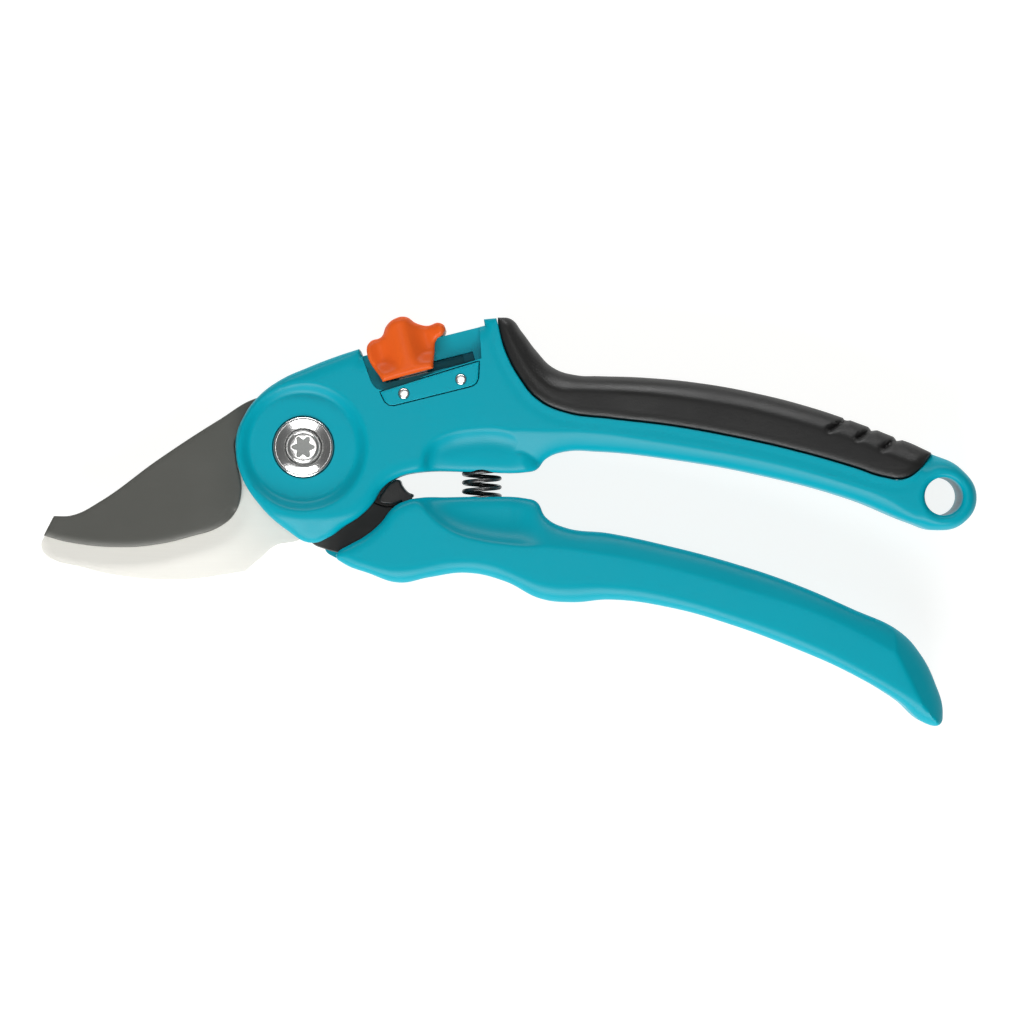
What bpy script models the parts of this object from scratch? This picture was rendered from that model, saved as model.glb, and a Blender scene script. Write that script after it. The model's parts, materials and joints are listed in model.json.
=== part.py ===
"""Bypass pruning shears, closed and latched, lying flat on their back face.

The pivot axis is the world Z axis and the back face is the plane z = 0. +X runs towards the ends
of the handles and +Y towards the upper handle. Lengths below are in millimetres.
"""

import math

import bmesh
import bpy

MM = 0.001

# Driving dimensions
THICKNESS = 18.0
FIT = 0.3  # gap between neighbouring pieces
ROUNDING = 1.2  # edge radius of the moulded handles
REAR_PLATE_TOP = 6.0  # the housing's rear plate ends here
FRONT_PLATE_LOW = 12.2  # and its front plate starts here
COUNTER_BLADE = (6.3, 8.8)  # bottom and top of the fixed blade
CUTTING_BLADE = (9.1, 11.9)  # bottom and top of the moving blade
HUB_RADIUS = 11.0
HUB_TOOTH_RADIUS = 12.2
BORE_RADIUS = 4.3  # pivot holes of both blades
SHANK_RADIUS = 2.7
HOUSING_RADIUS = 19.9  # lower right edge of the housing, about the pivot
COLLAR_RADIUS = 24.2  # front edge of the lower handle, about the pivot
FLANGE_RADIUS = 22.3  # its rear flange reaches further in
SLIDE_ANGLE = 14.0  # the lock moves along this direction
SPRING_X = 39.8
SPRING_RADIUS = 4.0
SPRING_WIRE = 1.0
SPRING_TOP = 0.0
SPRING_BOTTOM = -16.8
SPRING_TURNS = 8.5
SPRING_POCKET_RADIUS = 5.1
HANGING_HOLE = (142.9, -11.0)
HANGING_HOLE_RADIUS = 4.25
MID_PLANE = THICKNESS / 2
THROUGH = (-1.0, THICKNESS + 1.0)  # a cut from below the back to above the front
RAIL_FLOOR = (2.7, 15.3)  # the rail's two faces, between the slider's legs
RAIL_TOP = 16.5  # across the slide
SLIDER_SPAN = (0.4, 18.9)
SLIDER_LEGS = (2.4, 15.6)  # inner faces of the slider's legs
LOCK_LAYER = (9.2, 11.8)  # bolt
LOCK_ROOM = (8.9, 12.1)
DETENT_LAYER = (9.4, 11.8)
SLOT_V = (9.4, 11.6)  # slot in the rail for the bolt's tab
WASHER_WELL = (7.0, 14.1)  # radius and floor
THIN_WASHER_ROOM = (8.3, 11.0, 13.4)  # radius, floor and top
NUT_RADIUS = 5.5
NUT_HEIGHT = 4.4
BUFFER_SPAN = (3.5, 15.2)
STEM_LOW = 12.8
PIN_RADIUS = 1.5
PIN_LOW = 0.5
RIVET_RADIUS = 1.0
RIVET_LOW = 12.9
RIVETS = [(24.7, 6.1), (37.8, 6.1)]  # along and across the slide
COUNTER_PINS = [(17.5, 4.2), (28.5, 5.8)]
CUTTING_PINS = [(18.8, -19.4), (27.6, -20.6)]

CORNER = True  # marks an outline point that stays sharp


def new_collection(name):
    made = bpy.data.collections.new(name)
    bpy.context.scene.collection.children.link(made)
    return made


def material(name, color, roughness, metallic=0.0):
    made = bpy.data.materials.new(name)
    made.use_nodes = True
    shader = made.node_tree.nodes["Principled BSDF"]
    shader.inputs["Base Color"].default_value = (*color, 1.0)
    shader.inputs["Roughness"].default_value = roughness
    shader.inputs["Metallic"].default_value = metallic
    made.diffuse_color = (*color, 1.0)
    return made


def add_mesh(name, shape):
    """An object in the parts collection from a finished bmesh."""
    mesh = bpy.data.meshes.new(name)
    shape.to_mesh(mesh)
    shape.free()
    made = bpy.data.objects.new(name, mesh)
    parts.objects.link(made)
    return made


def arc(radius, start, end, count):
    """Points about the pivot from one angle to another, in degrees."""
    angles = [math.radians(start + (end - start) * i / (count - 1)) for i in range(count)]
    return [(radius * math.cos(a), radius * math.sin(a)) for a in angles]


def outline(name, points, low, high, rounding=0.0, grow=0.0, steps=4, turn=0.0):
    """A flat solid from z = low to high whose edge runs smoothly through the points."""
    curve = bpy.data.curves.new(name, "CURVE")
    curve.dimensions = "2D"
    curve.fill_mode = "BOTH"
    curve.resolution_u = steps
    curve.extrude = ((high - low) / 2 - rounding) * MM
    curve.bevel_depth = rounding * MM
    curve.bevel_resolution = 1
    curve.offset = (grow - rounding) * MM
    spline = curve.splines.new("BEZIER")
    spline.bezier_points.add(len(points) - 1)
    for knot, (x, y, *corner) in zip(spline.bezier_points, points):
        knot.co = (x * MM, y * MM, 0)
        knot.handle_left_type = knot.handle_right_type = "VECTOR" if corner else "AUTO"
    spline.use_cyclic_u = True
    guide = bpy.data.objects.new(name + "_outline", curve)
    guide.location.z = (low + high) / 2 * MM
    guide.rotation_euler.z = math.radians(turn)
    parts.objects.link(guide)
    bpy.context.view_layer.update()
    graph = bpy.context.evaluated_depsgraph_get()
    mesh = bpy.data.meshes.new_from_object(guide.evaluated_get(graph))
    shape = bmesh.new()
    shape.from_mesh(mesh)
    bmesh.ops.remove_doubles(shape, verts=shape.verts, dist=0.01 * MM)
    edges, verts = list(shape.edges), list(shape.verts)
    bmesh.ops.dissolve_limit(shape, angle_limit=math.radians(0.5), verts=verts, edges=edges)
    bmesh.ops.recalc_face_normals(shape, faces=shape.faces)
    made = add_mesh(name, shape)
    made.matrix_world = guide.matrix_world.copy()
    bpy.data.objects.remove(guide)
    bpy.data.meshes.remove(mesh)
    return made


def cylinder(name, radius, low, high, centre=(0.0, 0.0), segments=32):
    """An upright cylinder, or a prism when segments is small."""
    shape = bmesh.new()
    bmesh.ops.create_cone(
        shape,
        cap_ends=True,
        segments=segments,
        radius1=radius * MM,
        radius2=radius * MM,
        depth=(high - low) * MM,
    )
    made = add_mesh(name, shape)
    made.location = (centre[0] * MM, centre[1] * MM, (low + high) / 2 * MM)
    return made


def turned(name, profile, segments=32, ring=False):
    """A solid of revolution about the pivot axis from (radius, z) points, top to bottom."""
    mesh = bpy.data.meshes.new(name)
    points = [(r * MM, 0, z * MM) for r, z in profile]
    edges = [(i, i + 1) for i in range(len(points) - 1)]
    if ring:
        edges.append((len(points) - 1, 0))
    mesh.from_pydata(points, edges, [])
    made = bpy.data.objects.new(name, mesh)
    parts.objects.link(made)
    screw = made.modifiers.new("turn", "SCREW")
    screw.steps = screw.render_steps = segments
    screw.use_merge_vertices = True
    screw.merge_threshold = 0.00001
    return made


def as_cutter(cutter):
    cutter.hide_render = True
    cutter.display_type = "WIRE"
    parts.objects.unlink(cutter)
    cutters.objects.link(cutter)


def combine(body, other, operation="DIFFERENCE"):
    step = body.modifiers.new(other.name, "BOOLEAN")
    step.operation = operation
    step.object = other
    if other.display_type != "WIRE":
        as_cutter(other)


def finish(piece, look, parent=None):
    """Gives the piece its material and shades its round sides smooth."""
    piece.data.materials.clear()
    piece.data.materials.append(look)
    piece.data.shade_smooth()
    piece.data.set_sharp_from_angle(angle=math.radians(30))
    if parent:
        bpy.context.view_layer.update()
        piece.parent = parent
        piece.matrix_parent_inverse = parent.matrix_world.inverted()


def joint_empty(name, turn=0.0):
    made = bpy.data.objects.new(name, None)
    made.rotation_euler.z = math.radians(turn)
    parts.objects.link(made)
    return made


# Outlines ---------------------------------------------------------------------------------

UPPER_OUTLINE = [
    (-15.1, -0.3),
    (-14.8, 3.2),
    (-13.2, 7.0),
    (-10.6, 10.7),
    (-5.6, 14.7),
    (1.1, 17.8),
    (7.9, 20.3),
    (16.0, 23.3),
    (26.0, 26.2),
    (36.0, 28.3),
    (44.0, 29.0),
    (48.6, 26.2),
    (52.0, 21.6),
    (55.8, 17.8),
    (61.9, 15.9),
    (75.4, 15.6),
    (88.9, 14.3),
    (102.4, 11.8),
    (122.6, 6.0),
    (140.4, -1.2),
    (146.6, -4.6),
    (150.5, -11.1),
    (147.4, -17.0),
    (141.6, -18.6),
    (136.1, -17.0),
    (122.6, -11.6),
    (102.4, -6.2),
    (82.1, -2.6),
    (66.0, -0.9),
    (58.0, -1.0),
    (54.2, -2.6),
    (52.1, -5.0),
    (50.2, -5.5),
    (38.0, -5.5),
    (26.0, -5.6),
    (21.2, -6.7),
    *arc(HOUSING_RADIUS, -27, -63, 4),
    (6.0, -19.9),
    (1.6, -21.4),
    (-3.4, -18.8),
    (-10.9, -11.5),
    (-14.2, -5.4),
]

GRIP_REGION = [
    (44.2, 40.0, CORNER),
    (43.4, 28.2),
    (45.0, 21.9),
    (48.4, 15.4),
    (52.4, 10.6),
    (58.5, 7.8),
    (68.6, 6.4),
    (82.1, 4.8),
    (95.6, 2.4),
    (109.1, -0.6),
    (122.6, -4.4),
    (129.4, -6.6),
    (134.0, -7.0),
    (137.3, -5.1),
    (140.6, -1.5),
    (150.0, 10.0, CORNER),
    (150.0, 40.0, CORNER),
]

GRIP_CORE = [
    (47.5, 20.6),
    (52.0, 15.6),
    (58.0, 12.7),
    (75.0, 12.0),
    (90.0, 10.4),
    (105.0, 7.4),
    (120.0, 3.2),
    (130.0, -0.4),
    (131.5, -4.0),
    (126.0, -8.5),
    (105.0, -3.0),
    (80.0, 2.0),
    (60.0, 4.0),
    (49.0, 10.0),
    (45.2, 18.0),
]

LOWER_OUTLINE = [
    (25.5, -11.4),
    (22.6, -11.9),
    (20.6, -12.9),
    (18.4, -13.8),
    *arc(FLANGE_RADIUS, -42, -74, 4),
    (4.3, -22.3),
    (7.3, -25.2),
    (14.6, -28.2),
    (21.4, -30.3),
    (28.1, -29.1),
    (36.5, -28.1),
    (45.0, -30.0),
    (53.0, -33.9),
    (60.0, -34.7),
    (68.6, -34.1),
    (82.1, -35.9),
    (95.6, -39.7),
    (109.1, -44.7),
    (122.6, -50.7),
    (133.0, -56.8),
    (139.6, -62.0),
    (142.2, -62.0),
    (143.0, -59.6),
    (141.3, -52.6),
    (138.0, -46.2),
    (133.4, -41.3),
    (122.6, -36.1),
    (109.1, -30.3),
    (95.6, -25.8),
    (82.1, -22.2),
    (68.6, -19.3),
    (58.6, -18.0),
    (54.2, -15.7),
    (52.1, -12.2),
    (50.0, -11.5),
    (40.0, -11.1),
    (32.0, -11.2),
]

COUNTER_BLADE_OUTLINE = [
    (-57.0, -18.3),
    (-58.8, -20.2),
    (-59.3, -22.6),
    (-57.6, -24.9),
    (-50.6, -27.1),
    (-41.6, -29.1),
    (-28.1, -30.0),
    (-13.7, -28.2, CORNER),
    (-10.1, -25.1),
    (-6.8, -22.4),
    (-1.1, -20.9),
    (5.0, -14.0),
    *arc(11.0, -50, -28, 2),
    (20.0, -1.0),
    (32.0, 2.2),
    (34.2, 5.8),
    (32.0, 9.4),
    (20.0, 9.8),
    (9.0, 9.6),
    *arc(11.0, 75, 125, 3),
    (-13.6, 7.6),
    (-16.6, 2.0),
    (-17.0, -5.0),
    (-20.0, -12.6),
    (-30.0, -18.6),
    (-42.0, -20.4),
    (-52.0, -18.2),
]

BLADE_SLOT = [
    (-40.0, -60.0, CORNER),
    (-40.0, 44.0, CORNER),
    (-2.2, 16.2, CORNER),
    *arc(HUB_TOOTH_RADIUS + FIT, 64, -14, 6),
    (27.0, -7.8, CORNER),
    (30.0, -60.0, CORNER),
]

COUNTER_TANG_POCKET = [
    (5.0, -13.4),
    (12.0, -5.2),
    (20.0, -1.5),
    (32.4, 1.8),
    (34.7, 5.8),
    (32.4, 9.9),
    (20.0, 10.3),
    (8.0, 10.3),
    (0.0, 0.0, CORNER),
]

CUTTING_BLADE_OUTLINE = [
    (-58.5, -19.8, CORNER),
    (-56.2, -15.4, CORNER),
    (-52.0, -15.2),
    (-46.1, -12.3),
    (-32.6, -2.6),
    (-19.1, 6.2),
    (-10.6, 11.1),
    (-6.0, 11.6),
    *arc(HUB_RADIUS, 96, -22, 7),
    (13.0, -9.8),
    (17.0, -12.9),
    (21.4, -13.4),
    (30.0, -16.6),
    (32.6, -20.0),
    (29.0, -24.4),
    (20.0, -25.6),
    (11.0, -24.2),
    (4.6, -22.8),
    (1.6, -21.3),
    (-0.6, -16.0),
    *arc(HUB_RADIUS, -106, -186, 4),
    (-12.6, 3.8),
    (-15.2, 2.2),
    (-15.3, -2.6),
    (-14.2, -9.4),
    (-15.6, -14.6),
    (-19.1, -17.8),
    (-25.9, -20.1),
    (-32.6, -21.7),
    (-41.0, -22.4),
    (-52.9, -21.3),
]

TANG_ROOM = [
    (0.0, 0.0, CORNER),
    (20.8, -12.9),
    (30.2, -16.2),
    (33.0, -20.0),
    (29.3, -24.8),
    (20.0, -26.0),
    (11.0, -24.6),
    (4.0, -23.4),
]

BUFFER_OUTLINE = [
    (21.3, -7.3),
    (22.0, -8.6),
    (23.3, -10.1),
    (24.6, -10.8),
    (24.3, -11.1),
    (22.8, -11.6),
    (21.2, -12.4),
    (19.0, -12.6),
    (17.1, -12.0),
    (18.1, -9.6),
    (19.4, -8.1),
]

# Between the housing's two plates the buffer reaches further in, and closes the gap there.
BUFFER_LIP = [
    (20.8, -9.0),
    (19.8, -12.0),
    (17.2, -11.9),
    (16.2, -10.7),
    (17.4, -8.4),
    (19.2, -7.7),
]

BUFFER_STEM = [
    (21.9, -11.0, CORNER),
    (24.2, -10.9, CORNER),
    (25.0, -15.6, CORNER),
    (22.8, -16.0, CORNER),
]

# Lock pieces are drawn in slide coordinates: u along the slide, v across it.
SLIDER_OUTLINE = [
    (20.8, 9.8, CORNER),
    (19.0, 17.6),
    (20.2, 19.2),
    (22.9, 19.7),
    (24.5, 21.7),
    (26.8, 22.8),
    (29.3, 22.6),
    (31.1, 20.8),
    (33.4, 19.6),
    (36.2, 19.5),
    (37.2, 18.2),
    (36.4, 16.9),
    (34.8, 16.2),
    (33.4, 13.0),
    (32.4, 10.0, CORNER),
]

RAIL_RECESS = [
    (16.6, 26.0, CORNER),
    (18.2, 10.6, CORNER),
    (18.7, 9.1),
    (19.8, 8.15),
    (31.0, 8.8, CORNER),
    (43.4, 9.5, CORNER),
    (46.4, 26.0, CORNER),
]

ABOVE_RAIL = [
    (16.6, 26.0, CORNER),
    (17.6, RAIL_TOP, CORNER),
    (45.9, RAIL_TOP, CORNER),
    (46.4, 26.0, CORNER),
]

GUIDE_PLATE = [
    (19.7, 7.7, CORNER),
    (20.2, 5.4, CORNER),
    (20.9, 4.5),
    (22.0, 4.1, CORNER),
    (39.7, 4.1, CORNER),
    (40.9, 4.5),
    (41.6, 5.4, CORNER),
    (42.7, 9.0, CORNER),
    (31.0, 8.4, CORNER),
]

LOCK_BOLT = [
    (11.95, 3.6, CORNER),
    (31.0, 3.6, CORNER),
    (31.0, 11.2, CORNER),
    (25.0, 11.2, CORNER),
    (22.6, 5.6, CORNER),
    (11.15, 5.6, CORNER),
]

LOCK_CAVITY = [
    (9.0, 3.3, CORNER),
    (39.5, 3.3, CORNER),
    (39.5, 11.6, CORNER),
    (23.4, 11.6, CORNER),
    (21.0, 5.9, CORNER),
    (9.0, 5.9, CORNER),
]

DETENT_SPRING = [
    (20.2, 1.3, CORNER),
    (26.0, 2.5),
    (31.8, 1.3, CORNER),
    (31.8, 1.8, CORNER),
    (26.0, 3.0),
    (20.2, 1.8, CORNER),
]

# A tooth on the cutting blade's hub, in front of the bolt's nose when the lock is home.
HUB_TOOTH = [
    (9.0, 5.9, CORNER),
    (10.4, 6.0, CORNER),
    (10.3, 6.6, CORNER),
    (8.9, 8.5, CORNER),
    (7.0, 8.0, CORNER),
]

# Turned pieces are drawn as (radius, height), from the top down.
DISH = [
    (0, THROUGH[1]),
    (14.6, THROUGH[1]),
    (14.0, THICKNESS),
    (12.6, 17.3),
    (10.2, 16.8),
    (7.0, 16.6),
    (0, 16.6),
]
SCREW = [(0, 16.5), (3.3, 16.5), (3.7, 16.2), (3.7, 15.1), (2.7, 15.1), (2.7, 1.7), (0, 1.7)]
WASHER = [
    (6.2, 16.5),
    (6.7, 16.3),
    (6.7, 14.4),
    (3.0, 14.4),
    (3.0, 14.8),
    (4.0, 14.8),
    (4.0, 15.3),
    (5.2, 15.6),
]
BUSH = [(4.0, 11.8), (4.0, 6.4), (3.0, 6.4), (3.0, 11.8)]
THIN_WASHER = [(8.0, 13.0), (8.0, 12.25), (4.6, 12.25), (4.6, 13.0)]


def box_outline(u0, u1, v0, v1):
    return [(u0, v0, CORNER), (u1, v0, CORNER), (u1, v1, CORNER), (u0, v1, CORNER)]


# The scene --------------------------------------------------------------------------------

for leftover in list(bpy.data.objects):
    bpy.data.objects.remove(leftover)
parts = new_collection("pruning_shears")
cutters = new_collection("cutters")

HANDLE_BLUE = material("handle_blue_plastic", (0.0, 0.30, 0.42), 0.38)
GRIP_BLACK = material("grip_black_rubber", (0.03, 0.03, 0.03), 0.6)
LOCK_ORANGE = material("lock_orange_plastic", (0.87, 0.10, 0.015), 0.4)
BLADE_COATING = material("blade_dark_coating", (0.09, 0.09, 0.08), 0.45, 0.3)
STAINLESS = material("stainless_blade", (0.80, 0.79, 0.75), 0.25, 1.0)
BRIGHT_STEEL = material("bright_steel", (0.75, 0.75, 0.75), 0.2, 1.0)
SPRING_STEEL = material("black_spring_steel", (0.02, 0.02, 0.02), 0.35, 0.6)
BRONZE = material("bronze_bush", (0.55, 0.33, 0.14), 0.35, 1.0)

lower_pivot = joint_empty("lower_handle_pivot")
lock_slide = joint_empty("lock_slide_line", SLIDE_ANGLE)


# Upper handle with its housing --------------------------------------------------------------

upper_handle = outline("upper_handle", UPPER_OUTLINE, 0, THICKNESS, rounding=ROUNDING)
grip_pad = outline("upper_grip_pad", UPPER_OUTLINE, 0, THICKNESS, rounding=ROUNDING)

grip_room = outline("grip_room", GRIP_REGION, -2, THICKNESS + 2, grow=FIT)
combine(grip_room, outline("grip_core", GRIP_CORE, 5, THICKNESS - 5))
combine(upper_handle, grip_room)
combine(grip_pad, outline("grip_region", GRIP_REGION, -3, THICKNESS + 3), "INTERSECT")
combine(grip_pad, outline("grip_core_room", GRIP_CORE, 5 - FIT, THICKNESS - 5 + FIT, grow=FIT))

blade_slot = outline("blade_slot", BLADE_SLOT, REAR_PLATE_TOP, FRONT_PLATE_LOW)
combine(upper_handle, blade_slot)
tang_pocket = (REAR_PLATE_TOP, COUNTER_BLADE[1] + FIT)
combine(upper_handle, outline("counter_tang_pocket", COUNTER_TANG_POCKET, *tang_pocket))

combine(upper_handle, turned("dish", DISH, 40))
well_radius, well_floor = WASHER_WELL
combine(upper_handle, cylinder("washer_well", well_radius, well_floor, THICKNESS, segments=40))
combine(upper_handle, cylinder("friction_washer_room", *THIN_WASHER_ROOM))
combine(upper_handle, cylinder("screw_hole", SHANK_RADIUS + FIT, 3.0, 15.0, segments=24))
nut_room = cylinder("nut_pocket", NUT_RADIUS + 0.4, THROUGH[0], NUT_HEIGHT + FIT, segments=6)
combine(upper_handle, nut_room)
ring_hole = cylinder("hanging_hole", HANGING_HOLE_RADIUS, *THROUGH, HANGING_HOLE, 28)
combine(upper_handle, ring_hole)

combine(upper_handle, outline("above_rail", ABOVE_RAIL, *THROUGH, turn=SLIDE_ANGLE))
front_recess = (RAIL_FLOOR[1], THROUGH[1])
rear_recess = (THROUGH[0], RAIL_FLOOR[0])
combine(upper_handle, outline("rail_recess_front", RAIL_RECESS, *front_recess, turn=SLIDE_ANGLE))
combine(upper_handle, outline("rail_recess_rear", RAIL_RECESS, *rear_recess, turn=SLIDE_ANGLE))
plate_span = (RAIL_FLOOR[1] - FIT, THROUGH[1])
plate_room = outline("guide_plate_room", GUIDE_PLATE, *plate_span, grow=FIT, turn=SLIDE_ANGLE)
combine(upper_handle, plate_room)
slot_shape = box_outline(21.4, 41.9, *SLOT_V)
slot_span = (LOCK_LAYER[1], RAIL_FLOOR[1] + 0.7)
combine(upper_handle, outline("lock_slot", slot_shape, *slot_span, turn=SLIDE_ANGLE))
combine(upper_handle, outline("lock_cavity", LOCK_CAVITY, *LOCK_ROOM, turn=SLIDE_ANGLE))
detent_room = box_outline(19.5, 32.5, 0.9, 3.5)
detent_span = (DETENT_LAYER[0] - FIT, DETENT_LAYER[1] + FIT)
combine(upper_handle, outline("detent_room", detent_room, *detent_span, turn=SLIDE_ANGLE))


def spring_pocket(name, near, far):
    """A round pocket along Y for one end of the return spring."""
    made = cylinder(name, SPRING_POCKET_RADIUS, 0, abs(far - near), segments=24)
    made.rotation_euler.x = math.radians(90)
    made.location = (SPRING_X * MM, (near + far) / 2 * MM, MID_PLANE * MM)
    return made


combine(upper_handle, spring_pocket("upper_spring_pocket", SPRING_TOP + 0.4, -9.0))


def slide_to_world(u, v):
    angle = math.radians(SLIDE_ANGLE)
    return (
        u * math.cos(angle) - v * math.sin(angle),
        u * math.sin(angle) + v * math.cos(angle),
    )


def drill(body, name, radius, low, high, places):
    for number, centre in enumerate(places, 1):
        hole = cylinder(f"{name}_{number}", radius + FIT, low, high, centre, segments=16)
        combine(body, hole)


rivet_places = [slide_to_world(u, v) for u, v in RIVETS]
drill(upper_handle, "rivet_hole", RIVET_RADIUS, RIVET_LOW - FIT, RAIL_FLOOR[1], rivet_places)
drill(upper_handle, "counter_pin_hole", PIN_RADIUS, THROUGH[0], COUNTER_BLADE[0], COUNTER_PINS)
finish(upper_handle, HANDLE_BLUE)
finish(grip_pad, GRIP_BLACK)


# Lock ---------------------------------------------------------------------------------------

plate_layer = (RAIL_FLOOR[1], THICKNESS)
guide_plate = outline("lock_guide_plate", GUIDE_PLATE, *plate_layer, turn=SLIDE_ANGLE)
drill(guide_plate, "plate_rivet_hole", RIVET_RADIUS, *plate_span, rivet_places)
finish(guide_plate, HANDLE_BLUE)
for number, place in enumerate(rivet_places, 1):
    name = f"guide_plate_rivet_{number}"
    finish(cylinder(name, RIVET_RADIUS, RIVET_LOW, THICKNESS, place, 16), BRIGHT_STEEL)

slider = outline("lock_slider", SLIDER_OUTLINE, *SLIDER_SPAN, turn=SLIDE_ANGLE)
rail_shape = box_outline(10, 50, 0, RAIL_TOP + FIT)
combine(slider, outline("rail_room", rail_shape, *SLIDER_LEGS, turn=SLIDE_ANGLE))
tab_shape = box_outline(25, 31, 9.8, 11.2)
tab_room = outline("tab_room", tab_shape, 15, 17.5, grow=FIT, turn=SLIDE_ANGLE)
combine(slider, tab_room)
finish(slider, LOCK_ORANGE, lock_slide)

bolt = outline("lock_bolt", LOCK_BOLT, *LOCK_LAYER, turn=SLIDE_ANGLE)
combine(bolt, outline("bolt_tab", tab_shape, LOCK_LAYER[0], 17.2, turn=SLIDE_ANGLE), "UNION")
finish(bolt, BRIGHT_STEEL, lock_slide)

detent = outline("lock_detent_spring", DETENT_SPRING, *DETENT_LAYER, turn=SLIDE_ANGLE)
finish(detent, SPRING_STEEL)


# Blades ---------------------------------------------------------------------------------------

counter_blade = outline("counter_blade", COUNTER_BLADE_OUTLINE, *COUNTER_BLADE)
combine(counter_blade, cylinder("counter_bore", BORE_RADIUS, 5, 10))
drill(counter_blade, "counter_tang_hole", PIN_RADIUS, 5, 10, COUNTER_PINS)
finish(counter_blade, STAINLESS)

cutting_blade = outline("cutting_blade", CUTTING_BLADE_OUTLINE, *CUTTING_BLADE)
tooth = outline("hub_tooth", HUB_TOOTH, *CUTTING_BLADE, turn=SLIDE_ANGLE)
combine(cutting_blade, tooth, "UNION")
combine(cutting_blade, cylinder("cutting_bore", BORE_RADIUS, 8, 13))
drill(cutting_blade, "cutting_tang_hole", PIN_RADIUS, 8, 13, CUTTING_PINS)
finish(cutting_blade, BLADE_COATING, lower_pivot)

for number, place in enumerate(COUNTER_PINS, 1):
    name = f"counter_blade_pin_{number}"
    finish(cylinder(name, PIN_RADIUS, PIN_LOW, COUNTER_BLADE[1], place, 16), BRIGHT_STEEL)


# Lower handle -----------------------------------------------------------------------------------

lower_handle = outline("lower_handle", LOWER_OUTLINE, 0, THICKNESS, rounding=ROUNDING)
collar_span = (REAR_PLATE_TOP, THROUGH[1])
combine(lower_handle, cylinder("collar_cut", COLLAR_RADIUS, *collar_span, segments=96))
combine(lower_handle, cylinder("blade_sweep", 26.5, REAR_PLATE_TOP, 9.0, segments=96))
tang_room = (CUTTING_BLADE[0] - FIT, CUTTING_BLADE[1] + FIT)
combine(lower_handle, outline("cutting_tang_room", TANG_ROOM, *tang_room))
pin_hole_span = (THROUGH[0], FRONT_PLATE_LOW)
drill(lower_handle, "cutting_pin_hole", PIN_RADIUS, *pin_hole_span, CUTTING_PINS)
combine(lower_handle, spring_pocket("lower_spring_pocket", SPRING_BOTTOM - 0.4, -8.0))
stem_room = (STEM_LOW - FIT, BUFFER_SPAN[1] + FIT)
combine(lower_handle, outline("stem_room", BUFFER_STEM, *stem_room, grow=FIT))
finish(lower_handle, HANDLE_BLUE, lower_pivot)

buffer = outline("stop_buffer", BUFFER_OUTLINE, *BUFFER_SPAN)
lip_span = (REAR_PLATE_TOP + FIT, FRONT_PLATE_LOW - FIT)
combine(buffer, outline("buffer_lip", BUFFER_LIP, *lip_span), "UNION")
combine(buffer, outline("buffer_stem", BUFFER_STEM, STEM_LOW, BUFFER_SPAN[1]), "UNION")
finish(buffer, GRIP_BLACK, lower_pivot)

for number, place in enumerate(CUTTING_PINS, 1):
    name = f"cutting_blade_pin_{number}"
    pin = cylinder(name, PIN_RADIUS, PIN_LOW, CUTTING_BLADE[1], place, 16)
    finish(pin, BRIGHT_STEEL, lower_pivot)


# Pivot ------------------------------------------------------------------------------------------

screw = turned("pivot_screw", SCREW)
star = [
    ((2.25 + 0.4 * math.cos(6 * a)) * math.cos(a), (2.25 + 0.4 * math.cos(6 * a)) * math.sin(a))
    for a in [math.radians(15 * i) for i in range(24)]
]
combine(screw, outline("star_socket", star, 15.3, 17, steps=1))
finish(screw, BRIGHT_STEEL)

finish(turned("pivot_dished_washer", WASHER, ring=True), BRIGHT_STEEL)
finish(turned("pivot_bush", BUSH, ring=True), BRONZE)
finish(turned("friction_washer", THIN_WASHER, ring=True), BRIGHT_STEEL)

nut = cylinder("pivot_nut", NUT_RADIUS, 0, NUT_HEIGHT, segments=6)
combine(nut, cylinder("nut_thread", SHANK_RADIUS + FIT, 1.4, 5, segments=24))
finish(nut, BRIGHT_STEEL)


# Return spring ------------------------------------------------------------------------------------


def coil(name, points_per_turn=10):
    """A compression spring along Y between the two pockets."""
    wire = bpy.data.curves.new(name, "CURVE")
    wire.dimensions = "3D"
    wire.bevel_depth = SPRING_WIRE / 2 * MM
    wire.bevel_resolution = 1
    wire.use_fill_caps = True
    count = int(SPRING_TURNS * points_per_turn) + 1
    spline = wire.splines.new("POLY")
    spline.points.add(count - 1)
    low = SPRING_BOTTOM + SPRING_WIRE
    high = SPRING_TOP - SPRING_WIRE
    for i, point in enumerate(spline.points):
        angle = 2 * math.pi * i / points_per_turn
        x = SPRING_X + SPRING_RADIUS * math.cos(angle)
        y = low + (high - low) * i / (count - 1)
        z = MID_PLANE + SPRING_RADIUS * math.sin(angle)
        point.co = (x * MM, y * MM, z * MM, 1)
    made = bpy.data.objects.new(name, wire)
    parts.objects.link(made)
    made.data.materials.append(SPRING_STEEL)
    return made


coil("return_spring")
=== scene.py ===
# %% [markdown]
# # Bypass pruning shears
# The packed CAD model has every piece at its real size and on its real joint, but its solids are
# plain. This notebook puts the finished surfaces around that frame: moulded handles with their
# creases, scoops and dish, a sculpted thumb slider, ground blades and turned pivot parts. The
# frame comes first, because every place below is read from it or measured from its pivot.

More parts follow.
